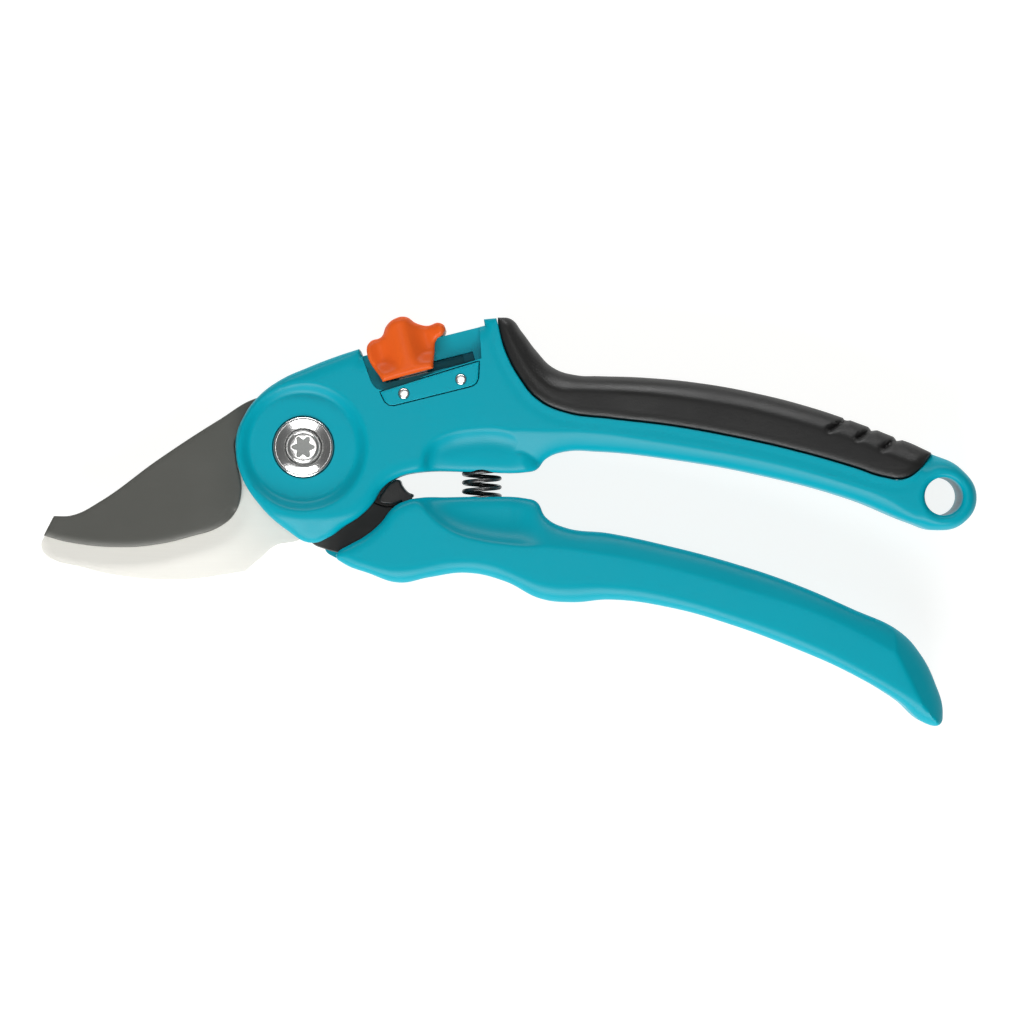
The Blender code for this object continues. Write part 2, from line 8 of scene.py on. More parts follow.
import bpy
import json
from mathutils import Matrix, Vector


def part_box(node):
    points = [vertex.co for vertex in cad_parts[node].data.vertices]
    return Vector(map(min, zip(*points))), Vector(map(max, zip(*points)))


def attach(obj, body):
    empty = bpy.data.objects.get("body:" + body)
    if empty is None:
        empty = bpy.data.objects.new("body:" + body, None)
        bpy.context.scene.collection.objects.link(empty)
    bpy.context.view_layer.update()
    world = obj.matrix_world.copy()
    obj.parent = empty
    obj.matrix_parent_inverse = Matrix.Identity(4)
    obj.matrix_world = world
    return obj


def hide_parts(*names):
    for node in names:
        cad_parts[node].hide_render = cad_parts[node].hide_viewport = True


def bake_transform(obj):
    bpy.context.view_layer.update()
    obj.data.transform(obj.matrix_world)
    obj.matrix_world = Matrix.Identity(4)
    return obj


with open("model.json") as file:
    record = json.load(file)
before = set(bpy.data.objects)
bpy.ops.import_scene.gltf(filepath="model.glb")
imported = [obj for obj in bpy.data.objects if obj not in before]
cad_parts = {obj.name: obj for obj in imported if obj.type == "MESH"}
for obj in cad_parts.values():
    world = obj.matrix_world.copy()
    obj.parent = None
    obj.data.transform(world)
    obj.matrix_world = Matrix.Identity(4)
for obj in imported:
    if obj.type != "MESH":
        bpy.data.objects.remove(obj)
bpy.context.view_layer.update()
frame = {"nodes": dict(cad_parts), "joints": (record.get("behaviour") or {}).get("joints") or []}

# %% [markdown]
# Everything is drawn in millimetres about the pivot axis, because a maker's drawing would be, and
# each finished mesh is scaled to metres once. The pivot is the world's Z axis. The lock slides
# along a line that leans away from X, and its pieces are drawn along and across that line.

# %% Modules, units and the places that the frame gives
import json
import math

import bmesh
import bpy
import numpy as np
from mathutils import Matrix, Vector, kdtree
from mathutils.geometry import delaunay_2d_cdt, interpolate_bezier

MM = 0.001
joints = {joint["name"]: joint for joint in frame["joints"]}
slide_axis = joints["lock_slide"]["axis"]
SLIDE_ANGLE = math.atan2(slide_axis[1], slide_axis[0])


def box_mm(node):
    """The lowest and highest corner of a CAD node, in millimetres."""
    low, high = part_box(node)
    return low / MM, high / MM


HANDLE_BACK = box_mm("upper_handle")[0].z
HANDLE_FRONT = box_mm("upper_handle")[1].z
MID_PLANE = (HANDLE_BACK + HANDLE_FRONT) / 2
print(f"handles from z = {HANDLE_BACK:.1f} to {HANDLE_FRONT:.1f} mm")
print(f"lock slides at {math.degrees(SLIDE_ANGLE):.1f} degrees to X")

# %% [markdown]
# An outline is a short list of knots with a smooth curve through them, the way a Bezier curve
# with automatic handles runs. It could be a curve object, but here its points are needed as
# numbers, so that a rim can be rounded inwards from them. A knot with a third value is a sharp
# corner.

# %% Outlines through knots
CORNER = True
HANDLE_REACH = 2.5614  # an automatic Bezier handle is this many times shorter than its side


def arc(radius, start, end, count):
    """Knots on a circle about the pivot, from one angle to another in degrees."""
    angles = [math.radians(start + (end - start) * i / (count - 1)) for i in range(count)]
    return [(radius * math.cos(a), radius * math.sin(a)) for a in angles]


def along_slide(knots):
    """Turns knots drawn along and across the slide into the world's X and Y."""
    c, s = math.cos(SLIDE_ANGLE), math.sin(SLIDE_ANGLE)
    return [(u * c - v * s, u * s + v * c, *corner) for u, v, *corner in knots]


def handles_at(before, here, after, corner):
    """The two Bezier handles of a knot."""
    if corner:
        return here + (before - here) / 3, here + (after - here) / 3
    lean = ((here - before).normalized() + (after - here).normalized()).normalized()
    back = lean * (here - before).length / HANDLE_REACH
    ahead = lean * (after - here).length / HANDLE_REACH
    return here - back, here + ahead


def smooth_curve(knots, spacing, closed=True):
    """Even points along the curve through the knots, as an array of X and Y."""
    places = [Vector(knot[:2]) for knot in knots]
    corners = [len(knot) > 2 for knot in knots]
    count = len(places)
    if not closed:
        corners[0] = corners[-1] = True
    sides = [handles_at(places[i - 1], places[i], places[(i + 1) % count], corners[i])
             for i in range(count)]
    points = []
    for i in range(count if closed else count - 1):
        j = (i + 1) % count
        steps = max(1, round((places[j] - places[i]).length / spacing))
        run = interpolate_bezier(places[i], sides[i][1], sides[j][0], places[j], steps + 1)
        points += [p[:2] for p in run[:-1]]
    if not closed:
        points.append(places[-1][:2])
    return np.array(points)


sample = smooth_curve(arc(10, 0, 315, 8), 0.5)
print("a circle through 8 knots stays round to",
      f"{np.abs(np.hypot(*sample.T) - 10).max():.3f} mm")

# %% [markdown]
# A moulded handle is a thick outline with a rounded rim, and its face is then pressed in where
# the real one has facets and hollows. Extruding the outline gives the wall and the rim: each ring
# of the rim is the outline moved inwards a little, and bridge_loops joins the rings. Where the
# rim would fold over itself in a tight corner, the points wait at the last place that is free.

# %% Loops, rings and rims
RIM_STEPS = 5
CORNER_SHARE = 0.7
SMALLEST_ROUNDING = 0.12


def wound(points, inwards=True):
    """The loop wound so that the material lies on its left."""
    x, y = points.T
    area = (x * np.roll(y, -1) - y * np.roll(x, -1)).sum() / 2
    return points if (area > 0) == inwards else points[::-1]


def nearness(points):
    """A search tree over the points of a loop."""
    tree = kdtree.KDTree(len(points))
    for number, (x, y) in enumerate(points):
        tree.insert((x, y, 0), number)
    tree.balance()
    return tree


def distance_to(tree, x, y):
    """The distance of each place to the nearest point of a tree."""
    return np.array([tree.find((a, b, 0))[2] for a, b in zip(x, y)])


def moved_in(points, distance):
    """The loop with each point moved to its left by a distance, which may differ by point."""
    along = np.roll(points, -1, axis=0) - np.roll(points, 1, axis=0)
    along /= np.linalg.norm(along, axis=1)[:, None]
    left = np.stack([-along[:, 1], along[:, 0]], axis=1)
    reach = np.broadcast_to(distance, len(points))
    moved = points + left * reach[:, None]
    free = distance_to(nearness(points), *moved.T) > 0.9 * reach - 0.01
    kept = np.flatnonzero(free)
    for i in np.flatnonzero(~free):
        gap = np.abs(kept - i)
        nearest = kept[np.argmin(np.minimum(gap, len(points) - gap))]
        moved[i] = moved[nearest]
    return moved


def ring(shape, points, height):
    """A closed loop of edges at one height, or at a height for each point."""
    heights = np.broadcast_to(height, len(points))
    verts = [shape.verts.new((x, y, z)) for (x, y), z in zip(points, heights)]
    return [shape.edges.new((a, b)) for a, b in zip(verts, verts[1:] + verts[:1])]


def eased(points, rounding):
    """The rounding for each point, less where the outline turns a tighter corner than that."""
    back, ahead = points - np.roll(points, 3, axis=0), np.roll(points, -3, axis=0) - points
    turn = back[:, 0] * ahead[:, 1] - back[:, 1] * ahead[:, 0]
    sides = np.linalg.norm(back, axis=1) * np.linalg.norm(ahead, axis=1)
    curvature = 2 * turn / (sides * np.linalg.norm(back + ahead, axis=1))
    limit = np.maximum(CORNER_SHARE / np.maximum(curvature, 0.01), SMALLEST_ROUNDING)
    least = np.minimum(rounding, limit)
    least = np.min([np.roll(least, shift) for shift in range(-4, 5)], axis=0)
    return np.mean([np.roll(least, shift) for shift in range(-3, 4)], axis=0)


def rim_profile():
    """How far the rim has come in and still has to rise, as shares of its radius."""
    turns = [math.pi / 2 * i / RIM_STEPS for i in range(RIM_STEPS + 1)]
    return [(1 - math.cos(a), 1 - math.sin(a)) for a in turns]


def rounded_wall(shape, loop, low, high, rounding):
    """The wall of a slab with rounded rims. Returns the loop where its faces start."""
    profile = rim_profile()
    rounding = eased(loop, rounding)
    levels = [(inset, low + rounding * drop) for inset, drop in reversed(profile)]
    levels += [(inset, high - rounding * drop) for inset, drop in profile]
    rings = [ring(shape, moved_in(loop, inset * rounding), z) for inset, z in levels]
    for lower, upper in zip(rings, rings[1:]):
        bmesh.ops.bridge_loops(shape, edges=lower + upper)
    return moved_in(loop, rounding)


print("rim rings at", [f"{inset:.2f}" for inset, _ in rim_profile()], "of the rounding")

# %% [markdown]
# One big face can't be pressed in, and a plain triangle fill has long slivers that shade badly.
# So the face gets a vertex every half millimetre, in rows shifted like bricks, and Blender's
# Delaunay triangulation joins them to the rim's loop and round the holes. No bmesh operator fills
# a region with points inside it, which is why this one step works on lists.

# %% Filling a face with even triangles
def inside(points, loop):
    """Which of the points lie inside a loop, by counting the sides to their right."""
    x, y = points.T
    found = np.zeros(len(points), bool)
    for (x0, y0), (x1, y1) in zip(loop, np.roll(loop, -1, axis=0)):
        if y0 == y1:
            continue
        crosses = (y0 > y) != (y1 > y)
        found ^= crosses & (x < (x1 - x0) * (y - y0) / (y1 - y0) + x0)
    return found


def brick_points(low, high, spacing):
    """Rows of points over a rectangle, every second row shifted by half a step."""
    row_step = spacing * math.sqrt(3) / 2
    rows = []
    for number, y in enumerate(np.arange(low[1], high[1], row_step)):
        x = np.arange(low[0] + spacing / 2 * (number % 2), high[0], spacing)
        rows.append(np.stack([x, np.full(len(x), y)], axis=1))
    return np.concatenate(rows)


def fill(shape, loops, height, spacing):
    """A flat face between the first loop and the holes in it."""
    outer, *holes = loops
    inner = brick_points(outer.min(0), outer.max(0), spacing)
    inner = inner[inside(inner, outer)]
    for hole in holes:
        inner = inner[~inside(inner, hole)]
    edges, start = [], 0
    for loop in loops:
        numbers = range(start, start + len(loop))
        edges += [(a, start + (a - start + 1) % len(loop)) for a in numbers]
        start += len(loop)
    border = np.concatenate(loops)
    inner = inner[distance_to(nearness(border), *inner.T) > 0.6 * spacing]
    points = [Vector(p) for p in np.concatenate([border, inner])]
    places, _, triangles, *_ = delaunay_2d_cdt(points, edges, [], 1, 1e-4)
    centres = np.array([sum((places[i] for i in t), Vector((0, 0))) / 3 for t in triangles])
    solid = inside(centres, outer)
    for hole in holes:
        solid &= ~inside(centres, hole)
    verts = [shape.verts.new((*p, height)) for p in places]
    for triangle, keep in zip(triangles, solid):
        if keep:
            shape.faces.new([verts[i] for i in triangle])
    bmesh.ops.delete(shape, geom=[v for v in verts if not v.link_faces], context="VERTS")


# %% [markdown]
# A slab closes the walls of its outline and of its holes with two such faces. Pressing moves
# every vertex towards the middle plane by the depth at its X and Y, and a wall moves in
# proportion, so a facet that reaches the rim takes the rim down with it.

# %% Slabs and pressed faces
HOLE_ROUNDING = 0.8


def slab(outer, low, high, rounding, spacing, holes=()):
    """A closed slab with rounded rims, as a bmesh in millimetres."""
    shape = bmesh.new()
    loops = [wound(outer)] + [wound(hole, inwards=False) for hole in holes]
    rims = [rounding] + [HOLE_ROUNDING] * len(holes)
    faces = [rounded_wall(shape, loop, low, high, rim) for loop, rim in zip(loops, rims)]
    fill(shape, faces, low, spacing)
    fill(shape, faces, high, spacing)
    bmesh.ops.remove_doubles(shape, verts=shape.verts, dist=0.01)
    bmesh.ops.dissolve_degenerate(shape, dist=0.005, edges=shape.edges)
    bmesh.ops.recalc_face_normals(shape, faces=shape.faces)
    return shape


def press(shape, middle, front=None, back=None):
    """Presses the front and the back face in by depths that depend on X and Y."""
    x, y, z = np.array([v.co for v in shape.verts]).T
    for depth, side in ((front, z > middle), (back, z < middle)):
        if depth is None or not side.any():
            continue
        reach = np.abs(z[side] - middle).max()
        z[side] = middle + (z[side] - middle) * (1 - depth(x[side], y[side]) / reach)
    for vert, height in zip(shape.verts, z):
        vert.co.z = height


test = slab(smooth_curve(arc(10, 0, 315, 8), 0.5), 0, 4, 1.0, 0.5)
print("test slab:", len(test.faces), "faces, closed:", all(e.is_manifold for e in test.edges))
test.free()

# %% [markdown]
# Pockets, slots and bores have crisp edges on the real mouldings, so they are cut from the slab
# with a Boolean. The cutter is a prism or a turned shape, and it goes away as soon as the cut is
# made. The manifold solver is quick on these dense, closed meshes.

# %% Cutters
def blank(name, shape):
    """An object in metres from a bmesh in millimetres."""
    mesh = bpy.data.meshes.new(name)
    shape.to_mesh(mesh)
    shape.free()
    mesh.transform(Matrix.Scale(MM, 4))
    made = bpy.data.objects.new(name, mesh)
    bpy.context.scene.collection.objects.link(made)
    return made


def prism(points, low, high):
    """An upright prism over a loop of points."""
    shape = bmesh.new()
    face = shape.faces.new([shape.verts.new((x, y, low)) for x, y in wound(points)])
    grown = bmesh.ops.extrude_face_region(shape, geom=[face])
    top = [g for g in grown["geom"] if isinstance(g, bmesh.types.BMVert)]
    bmesh.ops.translate(shape, verts=top, vec=(0, 0, high - low))
    bmesh.ops.recalc_face_normals(shape, faces=shape.faces)
    return shape


def rod(radius, low, high, centre=(0, 0), segments=64):
    """An upright round bar."""
    shape = bmesh.new()
    place = Matrix.Translation((centre[0], centre[1], (low + high) / 2))
    bmesh.ops.create_cone(shape, cap_ends=True, segments=segments, radius1=radius,
                          radius2=radius, depth=high - low, matrix=place)
    return shape


def cut(piece, shape, operation="DIFFERENCE"):
    """Cuts a shape from a piece, or joins it, and removes the cutter."""
    before = len(piece.data.polygons)
    cutter = blank("cutter", shape)
    step = piece.modifiers.new("cut", "BOOLEAN")
    step.operation = operation
    step.solver = "MANIFOLD"
    step.object = cutter
    graph = bpy.context.evaluated_depsgraph_get()
    old = piece.data
    made = bpy.data.meshes.new_from_object(piece.evaluated_get(graph))
    piece.modifiers.clear()
    piece.data = made
    bpy.data.meshes.remove(old)
    bpy.data.objects.remove(cutter)
    if len(made.polygons) == before:
        raise RuntimeError(f"a cut in {piece.name} did nothing")


# %% [markdown]
# A real finish is never one flat colour, so each material is a small graph. Written node by node
# such a graph is long, and its sums are hard to read. Here a socket is wrapped in a class that
# overloads the arithmetic, and one method adds any other node.

# %% Shader maths as expressions
class Socket:
    """A shader output that can be used in sums."""

    def __init__(self, finish, output):
        self.finish = finish
        self.output = output

    def math(self, operation, first, second):
        return self.finish.add("ShaderNodeMath", 0, {"operation": operation},
                               {0: first, 1: second})

    def __add__(self, other):
        return self.math("ADD", self, other)

    __radd__ = __add__

    def __sub__(self, other):
        return self.math("SUBTRACT", self, other)

    def __rsub__(self, other):
        return self.math("SUBTRACT", other, self)

    def __mul__(self, other):
        return self.math("MULTIPLY", self, other)

    __rmul__ = __mul__


class Finish:
    """A material under construction."""

    def __init__(self, name, roughness, metallic=0.0, specular=0.5):
        self.material = bpy.data.materials.new(name)
        self.material.use_nodes = True
        self.tree = self.material.node_tree
        self.shader = self.tree.nodes["Principled BSDF"]
        self.shader.inputs["Roughness"].default_value = roughness
        self.shader.inputs["Metallic"].default_value = metallic
        self.shader.inputs["Specular IOR Level"].default_value = specular
        self.place = self.add("ShaderNodeTexCoord", "Object")

    def add(self, kind, output, settings=None, inputs=None):
        """Adds any node: its settings first, then the values or links of its sockets."""
        node = self.tree.nodes.new(kind)
        settings = dict(settings or {})
        for number, (place, grey) in enumerate(settings.pop("stops", ())):
            stop = node.color_ramp.elements[number]
            stop.position = place
            stop.color = (grey, grey, grey, 1)
        for name, value in settings.items():
            setattr(node, name, value)
        for name, value in (inputs or {}).items():
            self.feed(node.inputs[name], value)
        return Socket(self, node.outputs[output])

    def feed(self, target, value):
        if isinstance(value, Socket):
            self.tree.links.new(value.output, target)
        else:
            target.default_value = value

    def stretched(self, scale, turn=0.0):
        """The object's coordinates, scaled along each axis and turned about Z."""
        return self.add("ShaderNodeMapping", 0, {},
                        {"Vector": self.place, "Scale": scale, "Rotation": (0, 0, turn)})

    def noise(self, scale, detail=2.0, place=None):
        values = {"Vector": place or self.place, "Scale": scale, "Detail": detail}
        return self.add("ShaderNodeTexNoise", 0, {}, values)

    def grains(self, scale):
        values = {"Vector": self.place, "Scale": scale}
        return self.add("ShaderNodeTexVoronoi", "Distance", {}, values)

    def ramp(self, value, *stops):
        return self.add("ShaderNodeValToRGB", 0, {"stops": stops}, {"Fac": value})

    def mix(self, mask, first, second):
        return self.add("ShaderNodeMix", 2, {"data_type": "RGBA"}, {0: mask, 6: first, 7: second})

    def wear_on(self, name, value):
        self.feed(self.shader.inputs[name], value)

    def bump(self, height, strength, depth):
        values = {"Height": height, "Strength": strength, "Distance": depth}
        self.wear_on("Normal", self.add("ShaderNodeBump", 0, {}, values))


def tone(red, green, blue):
    """A colour with full opacity, as a socket takes it."""
    return (red, green, blue, 1.0)


print("finishes are built with", [n for n in vars(Finish) if not n.startswith("_")])

# %% [markdown]
# The handles are polyamide with glass fibre. Its skin is satin, with the fine spark-eroded grain
# of the mould and a slight mottle where the fibres lie near the surface. Small scratches from the
# garden break the gloss. The grain is about 0.15 mm, so it shows only up close. The gloss is set
# low, because a strong white one would wash out the deep teal.

# %% Handle plastic and slider plastic
PLASTIC_GLOSS = 0.15
GRAIN_STRENGTH, GRAIN_DEPTH = 0.25, 0.00008
HANDLE_TEAL = ((0.0, 0.345, 0.440), (0.0, 0.315, 0.405))
SLIDER_ORANGE = ((0.78, 0.120, 0.016), (0.72, 0.102, 0.012))


def moulded_plastic(name, colour, shade, roughness):
    finish = Finish(name, roughness, specular=PLASTIC_GLOSS)
    mottle = finish.noise(60.0, 4.0)
    cloud = finish.noise(14.0, 3.0)
    blend = mottle * 0.5 + cloud * 0.5
    finish.wear_on("Base Color", finish.mix(blend, tone(*shade), tone(*colour)))
    fine = finish.noise(5200.0, 3.0)
    scratch_field = finish.noise(220.0, 2.0, finish.stretched((1.0, 9.0, 3.0), 0.4))
    scratches = finish.ramp(scratch_field, (0.60, 0.0), (0.74, 1.0))
    finish.wear_on("Roughness", roughness - 0.06 + mottle * 0.12 + scratches * 0.10)
    pores = finish.grains(3600.0)
    finish.bump(fine * 0.6 + pores * 0.4, GRAIN_STRENGTH, GRAIN_DEPTH)
    return finish.material


HANDLE_PLASTIC = moulded_plastic("handle_plastic_teal", *HANDLE_TEAL, 0.36)
SLIDER_PLASTIC = moulded_plastic("slider_plastic_orange", *SLIDER_ORANGE, 0.34)
print("plastics:", HANDLE_PLASTIC.name, SLIDER_PLASTIC.name)

# %% [markdown]
# The grip and the stop buffer are a soft thermoplastic rubber. It is dark and matt, with a finer
# and deeper grain than the plastic, and a light bloom where hands polish it.

# %% Grip rubber
RUBBER_BLACK = ((0.009, 0.009, 0.009), (0.014, 0.014, 0.013))


def soft_rubber(name, colour, bloom, roughness):
    finish = Finish(name, roughness, specular=0.45)
    handled = finish.ramp(finish.noise(45.0, 4.0), (0.35, 0.0), (0.75, 1.0))
    finish.wear_on("Base Color", finish.mix(handled * 0.6, tone(*colour), tone(*bloom)))
    finish.wear_on("Roughness", roughness + 0.08 - handled * 0.14)
    grain = finish.noise(6500.0, 2.0)
    pores = finish.grains(2600.0)
    finish.bump(grain * 0.5 + pores * 0.5, 0.35, 0.0001)
    return finish.material


GRIP_RUBBER = soft_rubber("grip_rubber_black", *RUBBER_BLACK, 0.38)
print("rubber:", GRIP_RUBBER.name)

# %% [markdown]
# The cutting blade has a dark non-stick coating over ground steel, so it is smooth and half matt,
# with faint grinding lines under the coating. Behind the pivot its tang is painted black, as
# painted shade where the housing shades it. The counter blade is bare stainless steel, finely
# ground along its length, and its near-white colour is partly painted reflection. A metal with
# no roughness detail looks like plastic, so both carry stretched noise in their roughness and
# their bump.

# %% Blade steels
PAINTED_TANG_SHADE = (0.014, 0.013, 0.012)
COATING_TONES = ((0.085, 0.086, 0.076), (0.102, 0.102, 0.092))
STEEL_AND_REFLECTION_TONES = ((0.95, 0.935, 0.87), (0.88, 0.865, 0.80))


def coated_steel(name, colour, worn, roughness):
    finish = Finish(name, roughness, metallic=0.25)
    lines = finish.noise(900.0, 3.0, finish.stretched((0.12, 2.0, 1.0), -0.5))
    patches = finish.ramp(finish.noise(70.0, 5.0), (0.35, 0.0), (0.8, 1.0))
    coat = finish.mix(patches * 0.4, tone(*colour), tone(*worn))
    # From the pivot to 6 mm behind it the coat fades to black: painted shade on the tang.
    along = finish.add("ShaderNodeSeparateXYZ", "X", {}, {"Vector": finish.place}) * 100.0
    tang = finish.ramp(along, (0.0, 0.0), (0.6, 1.0))
    finish.wear_on("Base Color", finish.mix(tang, coat, tone(*PAINTED_TANG_SHADE)))
    finish.wear_on("Roughness", roughness + lines * 0.10 - patches * 0.08)
    finish.bump(lines + finish.noise(4200.0, 2.0) * 0.5, 0.12, 0.00005)
    return finish.material


def ground_steel(name, colour, shade, roughness, metallic, lean):
    finish = Finish(name, roughness, metallic=metallic)
    lines = finish.noise(1500.0, 4.0, finish.stretched((0.05, 2.4, 1.0), lean))
    stains = finish.ramp(finish.noise(55.0, 5.0), (0.4, 0.0), (0.8, 1.0))
    blend = lines * 0.5 + stains * 0.3
    finish.wear_on("Base Color", finish.mix(blend, tone(*colour), tone(*shade)))
    finish.wear_on("Roughness", roughness - 0.05 + lines * 0.12 + stains * 0.05)
    finish.bump(lines, 0.10, 0.00004)
    return finish.material


BLADE_COATING = coated_steel("blade_coating_dark", *COATING_TONES, 0.42)
# Near-white tones on a barely metallic finish: partly pale steel, partly painted reflection.
BLADE_STEEL = ground_steel("counter_blade_steel", *STEEL_AND_REFLECTION_TONES, 0.38, 0.15, 0.3)
print("blade finishes:", BLADE_COATING.name, BLADE_STEEL.name)

# %% [markdown]
# Washer, screw, pins and rivets are turned steel. Turning leaves fine rings about the part's own
# axis. The pivot parts are centred on the pivot axis, so the distance from it makes their rings.
# Below the level of its head, in the star socket, the screw's steel is painted darker, as painted
# shade in the socket.

# %% Turned steel, spring steel and bronze
TURNING_RINGS = 2600.0
SOCKET_PAINTED_SHADE = (0.16, 0.165, 0.16)
SOCKET_LEVEL = 0.0161  # in metres, as Object coordinates are


def turned_steel(name, colour, roughness, dark_below=None):
    finish = Finish(name, roughness, metallic=1.0)
    settings = {"wave_type": "RINGS", "rings_direction": "Z"}
    rings = finish.add("ShaderNodeTexWave", 1, settings,
                       {"Vector": finish.place, "Scale": TURNING_RINGS, "Distortion": 0.4})
    haze = finish.noise(300.0, 4.0)
    shade = tuple(0.86 * part for part in colour)
    steel = finish.mix(haze * 0.6, tone(*colour), tone(*shade))
    # Below the socket level the steel fades to dark grey: painted shade in the star socket.
    if dark_below is not None:
        height = finish.add("ShaderNodeSeparateXYZ", "Z", {}, {"Vector": finish.place})
        sunk = (dark_below - height) * 4000.0
        steel = finish.mix(finish.ramp(sunk, (0.0, 0.0), (1.0, 1.0)), steel, tone(*SOCKET_PAINTED_SHADE))
    finish.wear_on("Base Color", steel)
    finish.wear_on("Roughness", roughness - 0.03 + haze * 0.08)
    finish.bump(rings, 0.05, 0.00002)
    return finish.material


def black_spring_steel(name):
    finish = Finish(name, 0.3, metallic=0.7)
    drawn = finish.noise(900.0, 3.0)
    black = finish.mix(drawn, tone(0.05, 0.05, 0.05), tone(0.11, 0.11, 0.11))
    finish.wear_on("Base Color", black)
    finish.wear_on("Roughness", 0.18 + drawn * 0.14)
    finish.bump(drawn, 0.1, 0.00003)
    return finish.material


BRIGHT_STEEL = turned_steel("turned_bright_steel", (0.90, 0.90, 0.89), 0.2)
SCREW_STEEL = turned_steel("screw_steel", (0.94, 0.94, 0.92), 0.24, dark_below=SOCKET_LEVEL)
PIN_STEEL = turned_steel("pin_steel", (0.62, 0.62, 0.61), 0.26)
BUSH_BRONZE = turned_steel("turned_bronze", (0.58, 0.36, 0.16), 0.3)
SPRING_STEEL = black_spring_steel("spring_steel_black")
print("metals:", BRIGHT_STEEL.name, PIN_STEEL.name, BUSH_BRONZE.name, SPRING_STEEL.name)

# %% [markdown]
# Each new piece stands for a CAD node, whose solid it hides, and rides on its body.
# Smooth shading with sharp edges past a limit keeps the cut pockets crisp and the rims round.

# %% Finishing a piece
SHARP_ANGLE = math.radians(38)
made_pieces = []


def install(piece, look, body, node):
    """Gives a piece its look and puts it in its node's place on the frame."""
    piece.data.materials.clear()
    piece.data.materials.append(look)
    piece.data.shade_smooth()
    piece.data.set_sharp_from_angle(angle=SHARP_ANGLE)
    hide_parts(node)
    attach(piece, body)
    made_pieces.append(piece)
    low, high = [Vector(c) / MM for c in (piece.bound_box[0], piece.bound_box[6])]
    print(f"{piece.name}: {len(piece.data.polygons)} faces,",
          f"{high.x - low.x:.1f} x {high.y - low.y:.1f} x {high.z - low.z:.1f} mm")


# %% [markdown]
# The hollows and facets of a pressed face are sums of a few simple shapes. A soft ramp is zero on
# one side of a line and rises steadily on the other, with a small round at the line, as a moulded
# crease has. A line is given by knots from left to right.

# %% Creases and soft steps
def soft_ramp(distance, softness):
    """Zero below zero and the distance above it, with a round corner between."""
    return (distance + np.sqrt(distance * distance + softness * softness)) / 2


def soft_step(value):
    """A smooth rise from 0 to 1 as the value goes from 0 to 1."""
    share = np.clip(value, 0, 1)
    return share * share * (3 - 2 * share)


def above_line(knots, x, y):
    """The distance of each place above a smooth line, negative below it."""
    line = smooth_curve(knots, 0.5, closed=False)
    height = np.interp(x, *line.T)
    slope = np.interp(x, line[:, 0], np.gradient(line[:, 1], line[:, 0]))
    return (y - height) / np.sqrt(1 + slope * slope)


def shoulder(tree, x, y, width, drop):
    """A soft fall towards the outline, over a width inside it."""
    return drop * np.clip(1 - distance_to(tree, x, y) / width, 0, 1) ** 2


print("a 1 mm soft ramp is", f"{soft_ramp(np.array(0.0), 1.0):.2f}", "mm high at its line")

# %% [markdown]
# The upper handle is one moulding: a round housing over the pivot, a rail for the lock, a slim
# arm with a facet along its lower side, and a hanging ring. A dish sinks the pivot bolt into the
# housing, and a scoop above the spring leaves room for its end. The grip pad is a second
# moulding, so this outline runs along the border between the two.

# %% Upper handle: outline
GRIP_BORDER = [
    (43.3, 28.0), (44.9, 21.8), (48.3, 15.2), (52.4, 10.4), (58.5, 7.6), (68.6, 6.2),
    (82.1, 4.6), (95.6, 2.2), (109.1, -0.8), (122.6, -4.6), (129.4, -6.8), (134.0, -7.2),
    (137.4, -5.2),
]

RAIL_NOTCH = along_slide([
    (17.4, 18.2, CORNER), (17.6, 16.5, CORNER), (45.9, 16.5, CORNER), (46.0, 17.9, CORNER),
])

UPPER_HANDLE = [
    (-15.1, -0.3), (-14.8, 3.2), (-13.2, 7.0), (-10.6, 10.7), (-5.6, 14.7), (1.1, 17.8),
    (7.9, 20.4), *RAIL_NOTCH, (43.1, 28.7, CORNER), *GRIP_BORDER, (140.5, -1.5, CORNER),
    (146.6, -4.6), (150.4, -11.1), (147.4, -17.0), (141.6, -18.6), (136.1, -17.0),
    (122.6, -11.6), (102.4, -6.2), (82.1, -2.6), (66.0, -0.9), (58.0, -1.0), (54.2, -2.6),
    (52.1, -5.0), (50.2, -5.5), (38.0, -5.5), (26.0, -5.6), (21.2, -6.7),
    *arc(19.9, -27, -63, 4), (6.0, -19.9), (1.6, -21.4), (-3.4, -18.8), (-10.9, -11.5),
    (-14.2, -5.4),
]

HANDLE_SPACING = 0.55
upper_loop = smooth_curve(UPPER_HANDLE, HANDLE_SPACING)
upper_tree = nearness(upper_loop)
grip_tree = nearness(smooth_curve(GRIP_BORDER, HANDLE_SPACING, closed=False))
print(len(UPPER_HANDLE), "knots give", len(upper_loop), "rim points")

# %% [markdown]
# The depths below are read on the real moulding as the way light falls on it: the dish has a flat
# floor and a soft wall, the scoop is steepest under its arch, and the arm's facet starts at a
# crease that runs from the scoop to the ring. The back is plainer, with the facet and the
# shoulder only.

